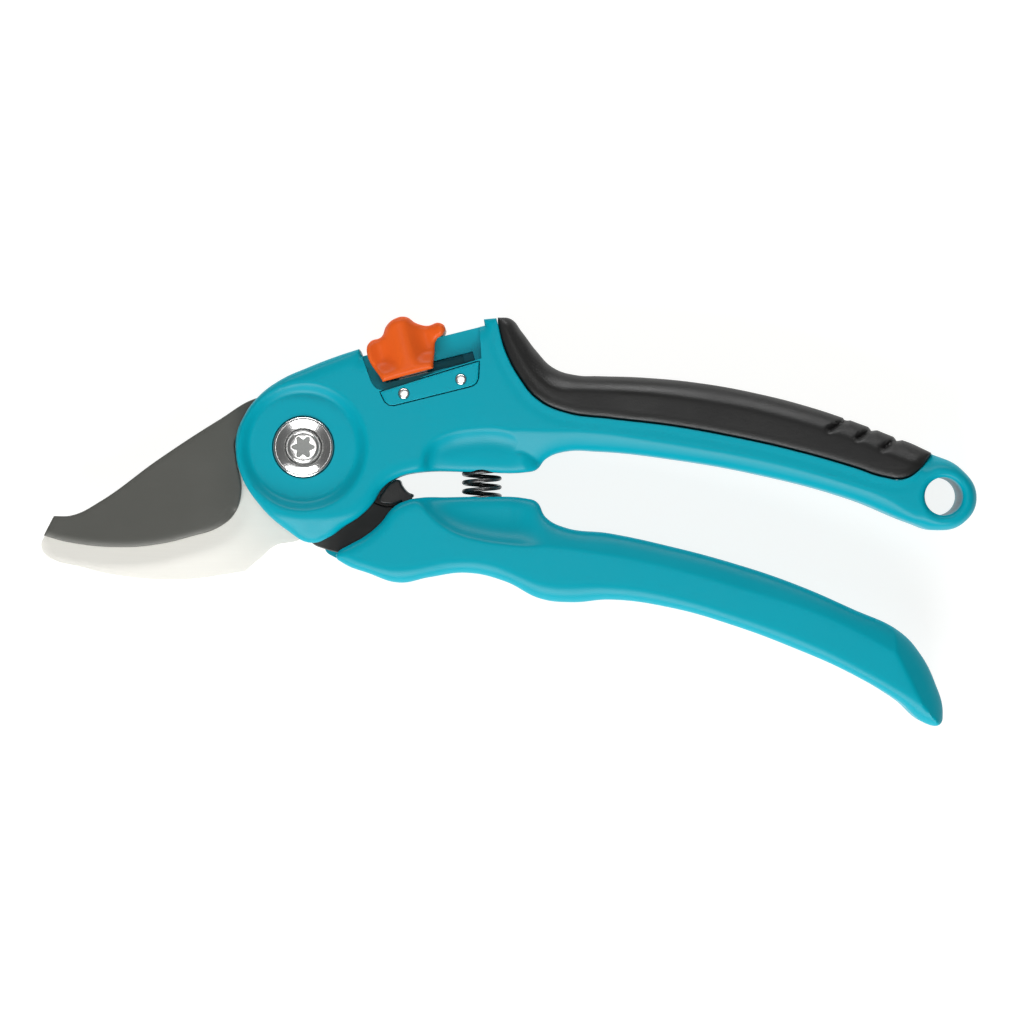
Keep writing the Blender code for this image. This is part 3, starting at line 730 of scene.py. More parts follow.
# %% Upper handle: facets, scoop and dish
DISH_RIM = 14.6
DISH_FLOOR = 11.8
DISH_DEPTH = 2.0
RING_CENTRE = (142.9, -11.0)
RING_CREST = 5.8  # the ring is thickest on this circle
ARM_SLOPE = 0.62
SCOOP_DEPTH, SCOOP_REACH = 3.2, 2.0
CREASE_SOFTNESS = 0.5
SHOULDER_WIDTH, SHOULDER_DROP = 3.6, 0.8
ARM_CREASE = [
    (24.0, -9.0), (27.0, -1.8), (31.3, 2.3), (37.6, 3.8), (47.0, 3.7), (52.4, 3.5), (65.5, 3.2),
    (76.7, 1.5), (88.0, -0.4), (97.9, -2.2), (109.4, -4.9), (121.5, -8.5), (129.6, -11.4),
    (137.5, -16.1), (144.9, -17.4), (152.0, -16.0),
]
SCOOP_ARCH = [
    (20.0, -16.0), (26.3, -4.6), (28.1, 0.0), (31.3, 2.2), (37.6, 3.6), (45.0, 3.4),
    (49.4, 1.6), (51.6, -2.0), (53.2, -8.0), (60.0, -30.0),
]


def arm_facet(x, y):
    """Depth of the facet under the arm's crease, which starts over the scoop."""
    below = soft_ramp(-above_line(ARM_CREASE, x, y), CREASE_SOFTNESS)
    depth = ARM_SLOPE * below * soft_step((x - 37) / 12)
    return np.minimum(depth, 2.8 + 3.2 * soft_step((x - 48) / 10))


def upper_rim(x, y):
    """The soft fall towards the rim, except beside the grip pad."""
    fall = shoulder(upper_tree, x, y, SHOULDER_WIDTH, SHOULDER_DROP)
    return fall * soft_step(distance_to(grip_tree, x, y) / 3)


def upper_front(x, y):
    """Depth of the front face of the upper handle."""
    dish = DISH_DEPTH * soft_step((DISH_RIM - np.hypot(x, y)) / (DISH_RIM - DISH_FLOOR))
    under_arch = soft_ramp(-above_line(SCOOP_ARCH, x, y), CREASE_SOFTNESS)
    scoop = SCOOP_DEPTH * (1 - np.exp(-under_arch / SCOOP_REACH))
    from_ring = np.hypot(x - RING_CENTRE[0], y - RING_CENTRE[1]) - RING_CREST
    tube = 0.24 * from_ring ** 2 * soft_step((x - 136) / 4)
    return dish + np.maximum(arm_facet(x, y), scoop) + upper_rim(x, y) + tube


def upper_back(x, y):
    """Depth of the back face of the upper handle."""
    return 0.7 * arm_facet(x, y) + upper_rim(x, y)


def upper_rounding(points):
    """The rim is tight along the grip pad and round elsewhere."""
    away = soft_step(distance_to(grip_tree, *points.T) / 3.0)
    return 0.35 + 0.95 * away


HOLE_RADIUS = 4.25
hanging_hole = np.array(arc(HOLE_RADIUS, 0, 354, 60)) + np.array(RING_CENTRE)
upper_loop = wound(upper_loop)
upper_shape = slab(upper_loop, HANDLE_BACK, HANDLE_FRONT, upper_rounding(upper_loop),
                   HANDLE_SPACING, [hanging_hole])
press(upper_shape, MID_PLANE, upper_front, upper_back)
print("pressed upper handle:", len(upper_shape.verts), "vertices")

# %% [markdown]
# The housing is two plates with the blades between them, so a slot runs in from its round side.
# The rail is stepped down on both faces for the slider's legs, and the lock's bolt, the springs,
# the pins and the pivot parts have their pockets. Each is at the CAD's size, so that the carried
# inner parts fit.

# %% Upper handle: slots and pockets
BLADE_GAP = (6.0, 12.2)
RAIL_FLOOR = 15.3
FIT = 0.3
BELOW, ABOVE = -1.0, 19.0  # past the back and the front face
TANG_POCKET_TOP = 9.1
TAB_SLOT, TAB_SLOT_SPAN = (21.4, 41.9, 9.4, 11.6), (11.8, 16)
DETENT_ROOM, DETENT_FLOOR = (19.5, 32.5, 0.9, 3.5), 9.1
RIVET_HOLES = (12.6, 16)
COUNTER_PIN_TOP = 7
LOCK_ROOM = (8.9, 12.1)
WELLS = ((7.0, 14.1, ABOVE), (8.3, 11.0, 13.4), (3.0, 3.0, 15.0))  # radius, from, to
NUT_ROOM = (5.9, BELOW, 4.7)
SPRING_POCKET_RADIUS = 5.1
BLADE_SLOT = [
    (-40.0, -60.0, CORNER), (-40.0, 44.0, CORNER), (-2.2, 16.2, CORNER), *arc(12.5, 64, -14, 6),
    (27.0, -7.8, CORNER), (30.0, -60.0, CORNER),
]
COUNTER_TANG_POCKET = [
    (5.0, -13.4), (12.0, -5.2), (20.0, -1.5), (32.4, 1.8), (34.7, 5.8), (32.4, 9.9),
    (20.0, 10.3), (8.0, 10.3), (0.0, 0.0, CORNER),
]
RAIL_RECESS = along_slide([
    (16.6, 26.0, CORNER), (18.2, 10.6, CORNER), (18.7, 9.1), (19.8, 8.15), (31.0, 8.8, CORNER),
    (43.4, 9.5, CORNER), (46.4, 26.0, CORNER),
])
GUIDE_PLATE = along_slide([
    (19.7, 7.7, CORNER), (20.2, 5.4, CORNER), (20.9, 4.5), (22.0, 4.1, CORNER),
    (39.7, 4.1, CORNER), (40.9, 4.5), (41.6, 5.4, CORNER), (42.7, 9.0, CORNER),
    (31.0, 8.4, CORNER),
])
LOCK_CAVITY = along_slide([
    (9.0, 3.3, CORNER), (39.5, 3.3, CORNER), (39.5, 11.6, CORNER), (23.4, 11.6, CORNER),
    (21.0, 5.9, CORNER), (9.0, 5.9, CORNER),
])


def oblong(u0, u1, v0, v1):
    """A rectangle in the slide's own directions."""
    return along_slide([(u0, v0, CORNER), (u1, v0, CORNER), (u1, v1, CORNER), (u0, v1, CORNER)])


def pocket(piece, knots, low, high, grow=0.0):
    """Cuts an outline through a piece between two heights."""
    loop = wound(smooth_curve(knots, 0.8))
    cut(piece, prism(moved_in(loop, -grow) if grow else loop, low, high))


def pin_holes(piece, nodes, low, high):
    """Cuts a bore with clearance round each of the CAD pins."""
    for node in nodes:
        corner, far = box_mm(node)
        centre = (corner + far) / 2
        cut(piece, rod((far.x - corner.x) / 2 + FIT, low, high, centre[:2], 32))


def spring_pocket(piece, start, end):
    """Cuts the round pocket along Y for one end of the return spring."""
    low, high = box_mm("return_spring")
    shape = rod(SPRING_POCKET_RADIUS, 0, abs(end - start), segments=48)
    bmesh.ops.rotate(shape, verts=shape.verts, cent=(0, 0, 0),
                     matrix=Matrix.Rotation(math.radians(-90), 3, "X"))
    centre = ((low.x + high.x) / 2, min(start, end), (low.z + high.z) / 2)
    bmesh.ops.translate(shape, verts=shape.verts, vec=centre)
    cut(piece, shape)


upper_handle = blank("upper_handle_moulding", upper_shape)
pocket(upper_handle, BLADE_SLOT, *BLADE_GAP)
pocket(upper_handle, COUNTER_TANG_POCKET, BLADE_GAP[0], TANG_POCKET_TOP)
pocket(upper_handle, RAIL_RECESS, RAIL_FLOOR, ABOVE)
pocket(upper_handle, RAIL_RECESS, BELOW, HANDLE_FRONT - RAIL_FLOOR)
pocket(upper_handle, GUIDE_PLATE, RAIL_FLOOR - FIT, ABOVE, grow=0.25)
pocket(upper_handle, oblong(*TAB_SLOT), *TAB_SLOT_SPAN)
pocket(upper_handle, LOCK_CAVITY, *LOCK_ROOM)
pocket(upper_handle, oblong(*DETENT_ROOM), DETENT_FLOOR, LOCK_ROOM[1])
for radius, low, high in WELLS:
    cut(upper_handle, rod(radius, low, high, segments=96))
cut(upper_handle, rod(*NUT_ROOM, segments=6))
RIVETS = ["guide_plate_rivet_1", "guide_plate_rivet_2"]
COUNTER_PINS = ["counter_blade_pin_1", "counter_blade_pin_2"]
CUTTING_PINS = ["cutting_blade_pin_1", "cutting_blade_pin_2"]
pin_holes(upper_handle, RIVETS, *RIVET_HOLES)
pin_holes(upper_handle, COUNTER_PINS, BELOW, COUNTER_PIN_TOP)
spring_pocket(upper_handle, -9.0, 0.4)
install(upper_handle, HANDLE_PLASTIC, "upper_handle", "upper_handle")

# %% [markdown]
# The grip pad wraps the top of the arm. Its front face has a crease from the tall horn at the
# thumb down to the tail: above it the rubber falls back to the top edge, which makes the lighter
# upper facet. Three short grooves cross the tail and notch the top edge, so the outline dips
# there.

# %% Grip pad
GROOVES = [
    ((121.2, 5.9), (117.3, 3.8)),
    ((127.2, 4.0), (123.5, 1.9)),
    ((132.9, 1.8), (129.2, -0.4)),
]
GROOVE_DEPTH, GROOVE_WIDTH = 1.1, 0.5
NOTCH_DEPTH, NOTCH_HALF_WIDTH = 0.75, 0.9
GRIP_SLOPE = 0.60
GRIP_TOP = [
    (138.6, -0.4), (135.6, 1.0), (133.9, 1.6), (130.0, 3.1), (128.3, 3.8), (124.2, 5.3),
    (122.3, 6.0), (112.5, 9.2), (102.4, 11.8), (88.9, 14.3), (75.4, 15.6), (66.0, 15.9),
    (61.0, 16.1), (55.8, 17.8), (52.0, 21.6), (48.8, 25.8), (46.4, 28.6),
]
GRIP_PAD = [
    (43.45, 28.9, CORNER),
    *[(x + 0.12, y + 0.12) for x, y in GRIP_BORDER],
    (140.4, -1.3, CORNER),
    *GRIP_TOP,
]
GRIP_CREASE = [
    (42.0, 31.5), (45.4, 26.4), (48.8, 20.8), (52.2, 16.0), (56.3, 13.2), (62.0, 12.8),
    (76.7, 12.0), (88.0, 10.6), (97.9, 8.9), (105.5, 7.1), (113.4, 4.9), (120.5, 2.6),
    (130.0, -1.2), (142.0, -6.0),
]


def to_segment(x, y, start, end):
    """The distance of each place to a straight segment."""
    reach = np.array(end) - np.array(start)
    share = ((x - start[0]) * reach[0] + (y - start[1]) * reach[1]) / (reach @ reach)
    share = np.clip(share, 0, 1)
    return np.hypot(x - start[0] - share * reach[0], y - start[1] - share * reach[1])


pad_loop = wound(smooth_curve(GRIP_PAD, HANDLE_SPACING))
for (x, y), _ in GROOVES:
    away = np.hypot(pad_loop[:, 0] - x, pad_loop[:, 1] - y)
    dip = NOTCH_DEPTH * np.clip(1 - away / NOTCH_HALF_WIDTH, 0, 1)
    pad_loop -= dip[:, None] * np.array([0.35, 0.94])
pad_tree = nearness(pad_loop)


def pad_front(x, y):
    """Depth of either face of the grip pad."""
    facet = GRIP_SLOPE * soft_ramp(above_line(GRIP_CREASE, x, y), 0.7)
    groove = sum(GROOVE_DEPTH * np.exp(-(to_segment(x, y, a, b) / GROOVE_WIDTH) ** 2)
                 for a, b in GROOVES)
    return facet + groove + shoulder(pad_tree, x, y, 2.6, 0.7)


def pad_rounding(points):
    """The rim is tight along the handle's plastic and round on the open side."""
    return 0.5 + 0.8 * soft_step(distance_to(grip_tree, *points.T) / 3.0)


pad_shape = slab(pad_loop, HANDLE_BACK, HANDLE_FRONT, pad_rounding(pad_loop), HANDLE_SPACING)
press(pad_shape, MID_PLANE, pad_front, pad_front)
grip_pad = blank("grip_pad_moulding", pad_shape)
install(grip_pad, GRIP_RUBBER, "upper_handle", "upper_grip_pad")

# %% [markdown]
# The lower handle is a moulding with waves for the fingers along its outer side. Those waves roll
# over softly, while the inner side has a shallow facet up to a crease. Its front shell ends in an
# arc about the pivot, and a thinner flange reaches further in behind the blades. The tail is cut
# off by a steep facet.

# %% Lower handle: outline and faces
LOWER_HANDLE = [
    (32.0, -11.2), (26.2, -11.3), (22.9, -12.0), *arc(24.2, -34, -66, 4), (8.0, -23.2),
    (7.3, -24.4), (8.7, -25.8), (14.6, -28.2), (21.4, -30.3), (28.1, -29.1), (36.5, -28.1),
    (45.0, -30.0), (53.0, -33.9), (60.0, -34.7), (68.6, -34.1), (82.1, -35.9), (95.6, -39.7),
    (109.1, -44.7), (122.6, -50.7), (133.0, -56.8), (139.6, -62.0), (142.2, -62.0),
    (143.0, -59.6), (141.3, -52.6), (138.0, -46.2), (133.4, -41.3), (122.6, -36.1),
    (109.1, -30.3), (95.6, -25.8), (82.1, -22.2), (68.6, -19.3), (58.6, -18.0), (54.2, -15.7),
    (52.1, -12.2), (50.0, -11.5), (40.0, -11.1),
]
INNER_CREASE = [
    (20.0, -6.0), (26.0, -12.5), (28.8, -15.6), (33.3, -18.8), (38.9, -20.6), (48.4, -21.9),
    (56.0, -22.4), (64.1, -23.5), (75.4, -25.5), (86.4, -28.2), (97.7, -31.6), (111.4, -35.9),
    (122.4, -40.6), (132.5, -46.0), (146.0, -52.0),
]
FINGER_SIDE = [
    (0.0, -19.0), (10.0, -24.6), (16.9, -26.9), (23.2, -27.0), (32.6, -25.4), (42.1, -26.0),
    (48.4, -28.6), (54.7, -30.6), (66.4, -30.8), (75.4, -31.8), (86.4, -34.4), (97.7, -38.0),
    (111.4, -43.0), (124.0, -49.2), (150.0, -64.0),
]
TAIL_CREASE = ((132.4, -46.0), (140.4, -62.2))
INNER_SLOPE, TAIL_SLOPE = 0.34, 0.75
INNER_SCOOP, INNER_REACH = 3.0, 2.2
LOWER_SHOULDER = (2.8, 0.6)
lower_loop = wound(smooth_curve(LOWER_HANDLE, HANDLE_SPACING))
lower_tree = nearness(lower_loop)


def beyond(line, x, y):
    """The distance of each place to the right of a straight line from its first to second knot."""
    (x0, y0), (x1, y1) = line
    length = math.hypot(x1 - x0, y1 - y0)
    return ((x - x0) * -(y1 - y0) + (y - y0) * (x1 - x0)) / length


def lower_front(x, y):
    """Depth of the front face of the lower handle."""
    above = soft_ramp(above_line(INNER_CREASE, x, y), 0.3)
    hollow = INNER_SCOOP * (1 - np.exp(-above / INNER_REACH))
    scoop = hollow * soft_step((55 - x) / 8) * soft_step((x - 22) / 5)
    facet = INNER_SLOPE * above * soft_step((x - 46) / 10)
    below = soft_ramp(-above_line(FINGER_SIDE, x, y), 0.6)
    tail = TAIL_SLOPE * soft_ramp(beyond(TAIL_CREASE, x, y), 0.3)
    fingers = 0.22 * below + 0.09 * below * below
    rim = shoulder(lower_tree, x, y, *LOWER_SHOULDER)
    return np.maximum(scoop + facet + fingers, tail) + rim


def lower_back(x, y):
    """Depth of the back face of the lower handle."""
    below = soft_ramp(-above_line(FINGER_SIDE, x, y), 1.0)
    return 0.08 * below + 0.08 * below * below + shoulder(lower_tree, x, y, *LOWER_SHOULDER)


lower_shape = slab(lower_loop, HANDLE_BACK, HANDLE_FRONT, 1.2, HANDLE_SPACING)
press(lower_shape, MID_PLANE, lower_front, lower_back)
print("pressed lower handle:", len(lower_shape.verts), "vertices")

# %% [markdown]
# The flange is joined on, and then the tang, the pins, the buffer's stem and the spring get their
# rooms. A wide shallow cut lets the counter blade pass behind the front shell as the shears open.

# %% Lower handle: flange and pockets
FLANGE = [
    (24.0, -12.6), (20.6, -12.9), (18.4, -13.8), *arc(22.3, -42, -74, 4), (4.4, -22.4),
    (7.3, -25.1), (12.0, -26.6), (22.0, -20.0),
]
TANG_ROOM = [
    (0.0, 0.0, CORNER), (20.8, -12.9), (30.2, -16.2), (33.0, -20.0), (29.3, -24.8),
    (20.0, -26.0), (11.0, -24.6), (4.0, -23.4),
]
TANG_ROOM_FLOOR = 8.8
STEM_ROOM = (12.5, 15.5)
CUTTING_PIN_TOP = 12.4
PASSING_RADIUS, PASSING_TOP = 26.5, 9.0  # room for the counter blade
BUFFER_STEM = [
    (21.9, -11.0, CORNER), (24.2, -10.9, CORNER), (25.0, -15.6, CORNER), (22.8, -16.0, CORNER),
]
lower_handle = blank("lower_handle_moulding", lower_shape)
flange_loop = smooth_curve(FLANGE, HANDLE_SPACING)
cut(lower_handle, slab(flange_loop, HANDLE_BACK, BLADE_GAP[0] + 0.4, 0.6, 1.0), "UNION")
cut(lower_handle, rod(PASSING_RADIUS, BLADE_GAP[0], PASSING_TOP, segments=128))
pocket(lower_handle, TANG_ROOM, TANG_ROOM_FLOOR, BLADE_GAP[1])
pocket(lower_handle, BUFFER_STEM, *STEM_ROOM, grow=FIT)
pin_holes(lower_handle, CUTTING_PINS, BELOW, CUTTING_PIN_TOP)
spring_pocket(lower_handle, -17.2, -8.0)
install(lower_handle, HANDLE_PLASTIC, "lower_handle", "lower_handle")

# %% [markdown]
# The stop buffer is a small rubber block that the handles close on. It is held by a stem in the
# lower handle, its open side is hollowed to a curve, and a lip of it reaches in between the
# plates, round the edge of the blade's tang. The skirt under the tang is not in the CAD: it is a
# black sheet put there as painted shade, and it closes the view to the floor.

# %% Stop buffer
STOP_BUFFER = [
    (21.3, -7.3), (22.0, -8.6), (23.3, -10.1), (24.5, -10.75), (24.3, -11.15), (22.8, -11.6),
    (21.2, -12.5), (19.0, -12.65), (17.0, -12.0), (18.0, -9.6), (19.4, -8.0),
]
BUFFER_SPAN = (3.5, 15.2)
BUFFER_LIP = [
    (20.8, -9.0), (19.8, -12.0), (17.2, -11.9), (16.2, -10.7), (17.4, -8.4), (19.2, -7.7),
]
# A black rubber sheet under the tang: painted shade that hides the glowing floor.
SHADE_SKIRT = [
    (15.5, -11.0, CORNER), (17.3, -10.6, CORNER), (22.2, -11.4, CORNER), (22.6, -13.6, CORNER),
    (17.6, -14.1, CORNER), (15.3, -13.2, CORNER),
]
buffer_loop = smooth_curve(STOP_BUFFER, 0.35)
buffer_piece = blank("stop_buffer_rubber", slab(buffer_loop, *BUFFER_SPAN, 0.45, 0.5))
joins = ((BUFFER_LIP, 0.5, 6.3, 11.9), (SHADE_SKIRT, 0.5, 6.3, 8.8),
         (BUFFER_STEM, 1.0, 12.8, BUFFER_SPAN[1]))  # knots, spacing, from, to
for knots, spacing, low, high in joins:
    cut(buffer_piece, prism(smooth_curve(knots, spacing), low, high), "UNION")
install(buffer_piece, GRIP_RUBBER, "lower_handle", "stop_buffer")

# %% [markdown]
# The slider is the one piece that a thumb pushes, so it has a saddle shape: three crests with
# hollows between them along its top, which run down its front and fade out. It straddles the rail
# on two legs. The pressing works in the slide's own directions here.

# %% Lock slider
SLIDER = along_slide([
    (20.8, 9.8, CORNER), (19.0, 17.6), (20.2, 19.2), (22.9, 19.7), (24.5, 21.7), (26.8, 22.8),
    (29.3, 22.6), (31.1, 20.8), (33.4, 19.6), (36.2, 19.5), (37.2, 18.2), (36.4, 16.9),
    (34.8, 16.2), (33.4, 13.0), (32.4, 10.0, CORNER),
])
SLIDER_CREST, CREST_HALF_WIDTH = 27.2, 1.5
SLIDER_WAVE = 9.2
HOLLOW_DEPTH = 1.9
RAIL_ROOM, RAIL_ROOM_SPAN = (10, 50, 0, 16.8), (2.4, 15.6)
TAB_ROOM, TAB_ROOM_SPAN = (24.7, 31.3, 8, 11.5), (15, 17.5)
slider_loop = wound(smooth_curve(SLIDER, 0.35))
slider_tree = nearness(slider_loop)


def slider_face(x, y):
    """Depth of either side of the slider: hollows left and right of its middle crest."""
    c, s = math.cos(SLIDE_ANGLE), math.sin(SLIDE_ANGLE)
    u, v = x * c + y * s, y * c - x * s
    from_crest = np.abs(u - SLIDER_CREST)
    wave = np.clip((from_crest - CREST_HALF_WIDTH) / (SLIDER_WAVE - 1.8), 0, 1)
    hollow = np.sin(np.pi * wave) ** 1.2
    rib = 0.10 * np.minimum(from_crest, CREST_HALF_WIDTH) ** 2
    depth = (HOLLOW_DEPTH * hollow + rib) * soft_step((v - 10.8) / 3.6)
    return depth + shoulder(slider_tree, x, y, 1.6, 0.5)


slider_low, slider_high = box_mm("lock_slider")
slider_shape = slab(slider_loop, slider_low.z, slider_high.z, 0.9, 0.4)
press(slider_shape, MID_PLANE, slider_face, slider_face)
slider = blank("lock_slider_saddle", slider_shape)
pocket(slider, oblong(*RAIL_ROOM), *RAIL_ROOM_SPAN)
pocket(slider, oblong(*TAB_ROOM), *TAB_ROOM_SPAN)
install(slider, SLIDER_PLASTIC, "lock", "lock_slider")

# %% [markdown]
# Below the slot a flush plate closes the guide, held by two rivets with low domed heads. A rivet
# head is a short bar whose top edge is bevelled round.

# %% Guide plate and rivets
HEAD_GROWTH, HEAD_RISE, HEAD_BEVEL = 0.27, 0.2, 0.45  # past the CAD's rivet
plate_loop = smooth_curve(GUIDE_PLATE, 0.5)
guide_plate = blank("guide_plate_moulding", slab(plate_loop, RAIL_FLOOR, HANDLE_FRONT, 0.25, 0.6))
pin_holes(guide_plate, RIVETS, 15, ABOVE)
install(guide_plate, HANDLE_PLASTIC, "upper_handle", "lock_guide_plate")


def bevelled(shape, edges, width, segments=3):
    """Rounds some edges of a shape."""
    bmesh.ops.bevel(shape, geom=edges, offset=width, segments=segments, affect="EDGES",
                    profile=0.5, material=-1, clamp_overlap=True)
    return shape


for number, node in enumerate(RIVETS, 1):
    low, high = box_mm(node)
    centre = ((low + high) / 2)[:2]
    radius = (high.x - low.x) / 2 + HEAD_GROWTH
    shape = rod(radius, low.z, high.z + HEAD_RISE, centre, 48)
    rim = [e for e in shape.edges if min(v.co.z for v in e.verts) > high.z]
    rivet = blank(f"rivet_head_{number}", bevelled(shape, rim, HEAD_BEVEL, 4))
    install(rivet, BRIGHT_STEEL, "upper_handle", node)

# %% [markdown]
# Both blades are flat plates cut to an outline. The counter blade is a hook with soft edges. The
# cutting blade is ground to a bevel along its lower edge, so its face falls away there.

# %% Blades
COUNTER_BLADE = [
    (-57.0, -18.3), (-58.8, -20.2), (-59.3, -22.6), (-57.6, -24.9), (-50.6, -27.1),
    (-41.6, -29.1), (-28.1, -30.0), (-13.7, -28.2, CORNER), (-10.1, -25.1), (-6.8, -22.4),
    (-1.1, -20.9), (5.0, -14.0), *arc(11.0, -50, -28, 2), (20.0, -1.0), (32.0, 2.2),
    (34.2, 5.8), (32.0, 9.4), (20.0, 9.8), (9.0, 9.6), *arc(11.0, 75, 125, 3), (-13.6, 7.6),
    (-16.6, 2.0), (-17.0, -5.0), (-20.0, -12.6), (-30.0, -18.6), (-42.0, -20.4), (-52.0, -18.2),
]
CUTTING_EDGE = [
    (-15.6, -14.6), (-19.1, -17.8), (-25.9, -20.1), (-32.6, -21.7), (-41.0, -22.4),
    (-52.9, -21.3), (-58.5, -19.8, CORNER),
]
CUTTING_BLADE = [
    (-56.2, -15.4, CORNER), (-52.0, -15.2), (-46.1, -12.3), (-32.6, -2.6), (-19.1, 6.2),
    (-10.6, 11.1), (-6.0, 11.6), *arc(11.0, 96, -22, 7), (13.0, -9.8), (17.0, -12.9),
    (21.4, -13.4), (30.0, -16.6), (32.6, -20.0), (29.0, -24.4), (20.0, -25.6), (11.0, -24.2),
    (4.6, -22.8), (1.6, -21.3), (-0.6, -16.0), *arc(11.0, -106, -186, 4), (-12.6, 3.8),
    (-15.2, 2.2), (-15.3, -2.6), (-14.2, -9.4), *CUTTING_EDGE,
]
HUB_TOOTH = [(9.0, 5.9), (10.4, 6.0), (10.3, 6.6), (8.9, 8.5), (7.0, 8.0)]
BORE_RADIUS = 4.3
BEVEL_SLOPE, BEVEL_WIDTH = 0.38, 1.3
COUNTER_HOLES, CUTTING_HOLES = (5, 10), (8, 13)  # past both faces of each blade
edge_tree = nearness(smooth_curve(CUTTING_EDGE, 0.3, closed=False))


def ground_bevel(x, y):
    """Depth of the cutting blade's ground bevel, which reaches to its edge."""
    return BEVEL_SLOPE * soft_ramp(BEVEL_WIDTH - distance_to(edge_tree, x, y), 0.15)


counter_low, counter_high = box_mm("counter_blade")
counter_loop = smooth_curve(COUNTER_BLADE, 0.6)
counter_shape = slab(counter_loop, counter_low.z, counter_high.z, 0.35, 1.2)
counter_blade = blank("counter_blade_hook", counter_shape)
cut(counter_blade, rod(BORE_RADIUS, *COUNTER_HOLES))
pin_holes(counter_blade, COUNTER_PINS, *COUNTER_HOLES)
install(counter_blade, BLADE_STEEL, "upper_handle", "counter_blade")

cutting_low, cutting_high = box_mm("cutting_blade")
cutting_shape = slab(smooth_curve(CUTTING_BLADE, 0.5), cutting_low.z, cutting_high.z, 0.3, 0.8)
press(cutting_shape, cutting_low.z, ground_bevel)
cutting_blade = blank("cutting_blade_plate", cutting_shape)
tooth = smooth_curve(along_slide([(*knot, CORNER) for knot in HUB_TOOTH]), 0.5)
cut(cutting_blade, prism(tooth, cutting_low.z, cutting_high.z), "UNION")
cut(cutting_blade, rod(BORE_RADIUS, *CUTTING_HOLES))
pin_holes(cutting_blade, CUTTING_PINS, *CUTTING_HOLES)
install(cutting_blade, BLADE_COATING, "lower_handle", "cutting_blade")

# %% [markdown]
# The pivot bolt sits in a dished washer. Both are turned, so each is a profile spun about the
# pivot axis, and the washer's ring edges are bevelled so that they catch the light. The screw's
# star socket is a prism whose radius swings six times round.

# %% Dished washer and pivot screw
TURN_STEPS = 128
CORNER_ANGLE = math.radians(25)
STAR_RADIUS, STAR_SWING = 2.15, 0.5


def lathe(profile, closed):
    """A turned shape from (radius, height) points, from the inside out or all round."""
    shape = bmesh.new()
    verts = [shape.verts.new((r, 0, z)) for r, z in profile]
    pairs = list(zip(verts, verts[1:])) + ([(verts[-1], verts[0])] if closed else [])
    edges = [shape.edges.new(pair) for pair in pairs]
    bmesh.ops.spin(shape, geom=verts + edges, cent=(0, 0, 0), axis=(0, 0, 1), dvec=(0, 0, 0),
                   angle=2 * math.pi, steps=TURN_STEPS, use_merge=True)
    bmesh.ops.remove_doubles(shape, verts=shape.verts, dist=0.001)
    bmesh.ops.recalc_face_normals(shape, faces=shape.faces)
    return shape


def ring_corners(shape):
    """The edges of a turned shape where its profile has a corner."""
    return [e for e in shape.edges if e.is_manifold and e.calc_face_angle() > CORNER_ANGLE]


WASHER = [
    (6.15, 16.5), (6.7, 16.3), (6.7, 14.4), (3.0, 14.4), (3.0, 14.8), (3.95, 14.8),
    (3.95, 15.35), (5.1, 15.7),
]
SCREW = [
    (0.0, 16.35), (2.9, 16.45), (3.4, 16.3), (3.7, 15.9), (3.7, 15.1), (2.7, 15.1), (2.7, 1.7),
    (0.0, 1.7),
]
washer_shape = lathe(WASHER, closed=True)
washer = blank("pivot_washer_dished", bevelled(washer_shape, ring_corners(washer_shape), 0.1))
install(washer, BRIGHT_STEEL, "upper_handle", "pivot_dished_washer")

screw = blank("pivot_screw_star", lathe(SCREW, closed=False))
star_angles = np.radians(np.arange(0, 360, 5)) + 0.3
star_radii = STAR_RADIUS + STAR_SWING * np.cos(6 * star_angles)
star = np.stack([star_radii * np.cos(star_angles), star_radii * np.sin(star_angles)], axis=1)
cut(screw, prism(star, 15.0, 17.0))
install(screw, SCREW_STEEL, "upper_handle", "pivot_screw")

# %% [markdown]
# The return spring is drawn wire wound into a coil with a closed turn at each end. A spin with a
# step along its axis winds it: the wire's round section goes about the coil's axis and moves on
# by one step each time.

# %% Return spring
WIRE_RADIUS = 0.5
STEPS_PER_TURN = 40
ACTIVE_TURNS = 6.5
spring_low, spring_high = box_mm("return_spring")
coil_radius = (spring_high.x - spring_low.x) / 2 - WIRE_RADIUS
coil_centre = (spring_low + spring_high) / 2
coil_shape = bmesh.new()
section_turn = Matrix.Translation((coil_centre.x + coil_radius, spring_low.y + WIRE_RADIUS,
                                   coil_centre.z))
section = bmesh.ops.create_circle(coil_shape, cap_ends=False, segments=14, radius=WIRE_RADIUS,
                                  matrix=section_turn)["verts"]
closed_pitch = 2 * WIRE_RADIUS + 0.02
active_pitch = (spring_high.y - spring_low.y - 2 * WIRE_RADIUS - 2 * closed_pitch) / ACTIVE_TURNS
strip = list({edge for vert in section for edge in vert.link_edges}) + list(section)
for turns, pitch in ((1, closed_pitch), (ACTIVE_TURNS, active_pitch), (1, closed_pitch)):
    steps = round(turns * STEPS_PER_TURN)
    wound_on = bmesh.ops.spin(coil_shape, geom=strip, cent=coil_centre, axis=(0, 1, 0),
                              dvec=(0, pitch / STEPS_PER_TURN, 0), angle=turns * 2 * math.pi,
                              steps=steps, use_merge=False)
    strip = wound_on["geom_last"]
rims = [e for e in coil_shape.edges if e.is_boundary]
bmesh.ops.holes_fill(coil_shape, edges=rims, sides=0)
bmesh.ops.recalc_face_normals(coil_shape, faces=coil_shape.faces)
spring = blank("return_spring_coil", coil_shape)
spring.data.materials.append(SPRING_STEEL)
spring.data.shade_smooth()
spring.data.set_sharp_from_angle(angle=SHARP_ANGLE)
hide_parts("return_spring")
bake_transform(spring)
print("spring:", len(spring.data.polygons), "faces, pitch", f"{active_pitch:.2f} mm")

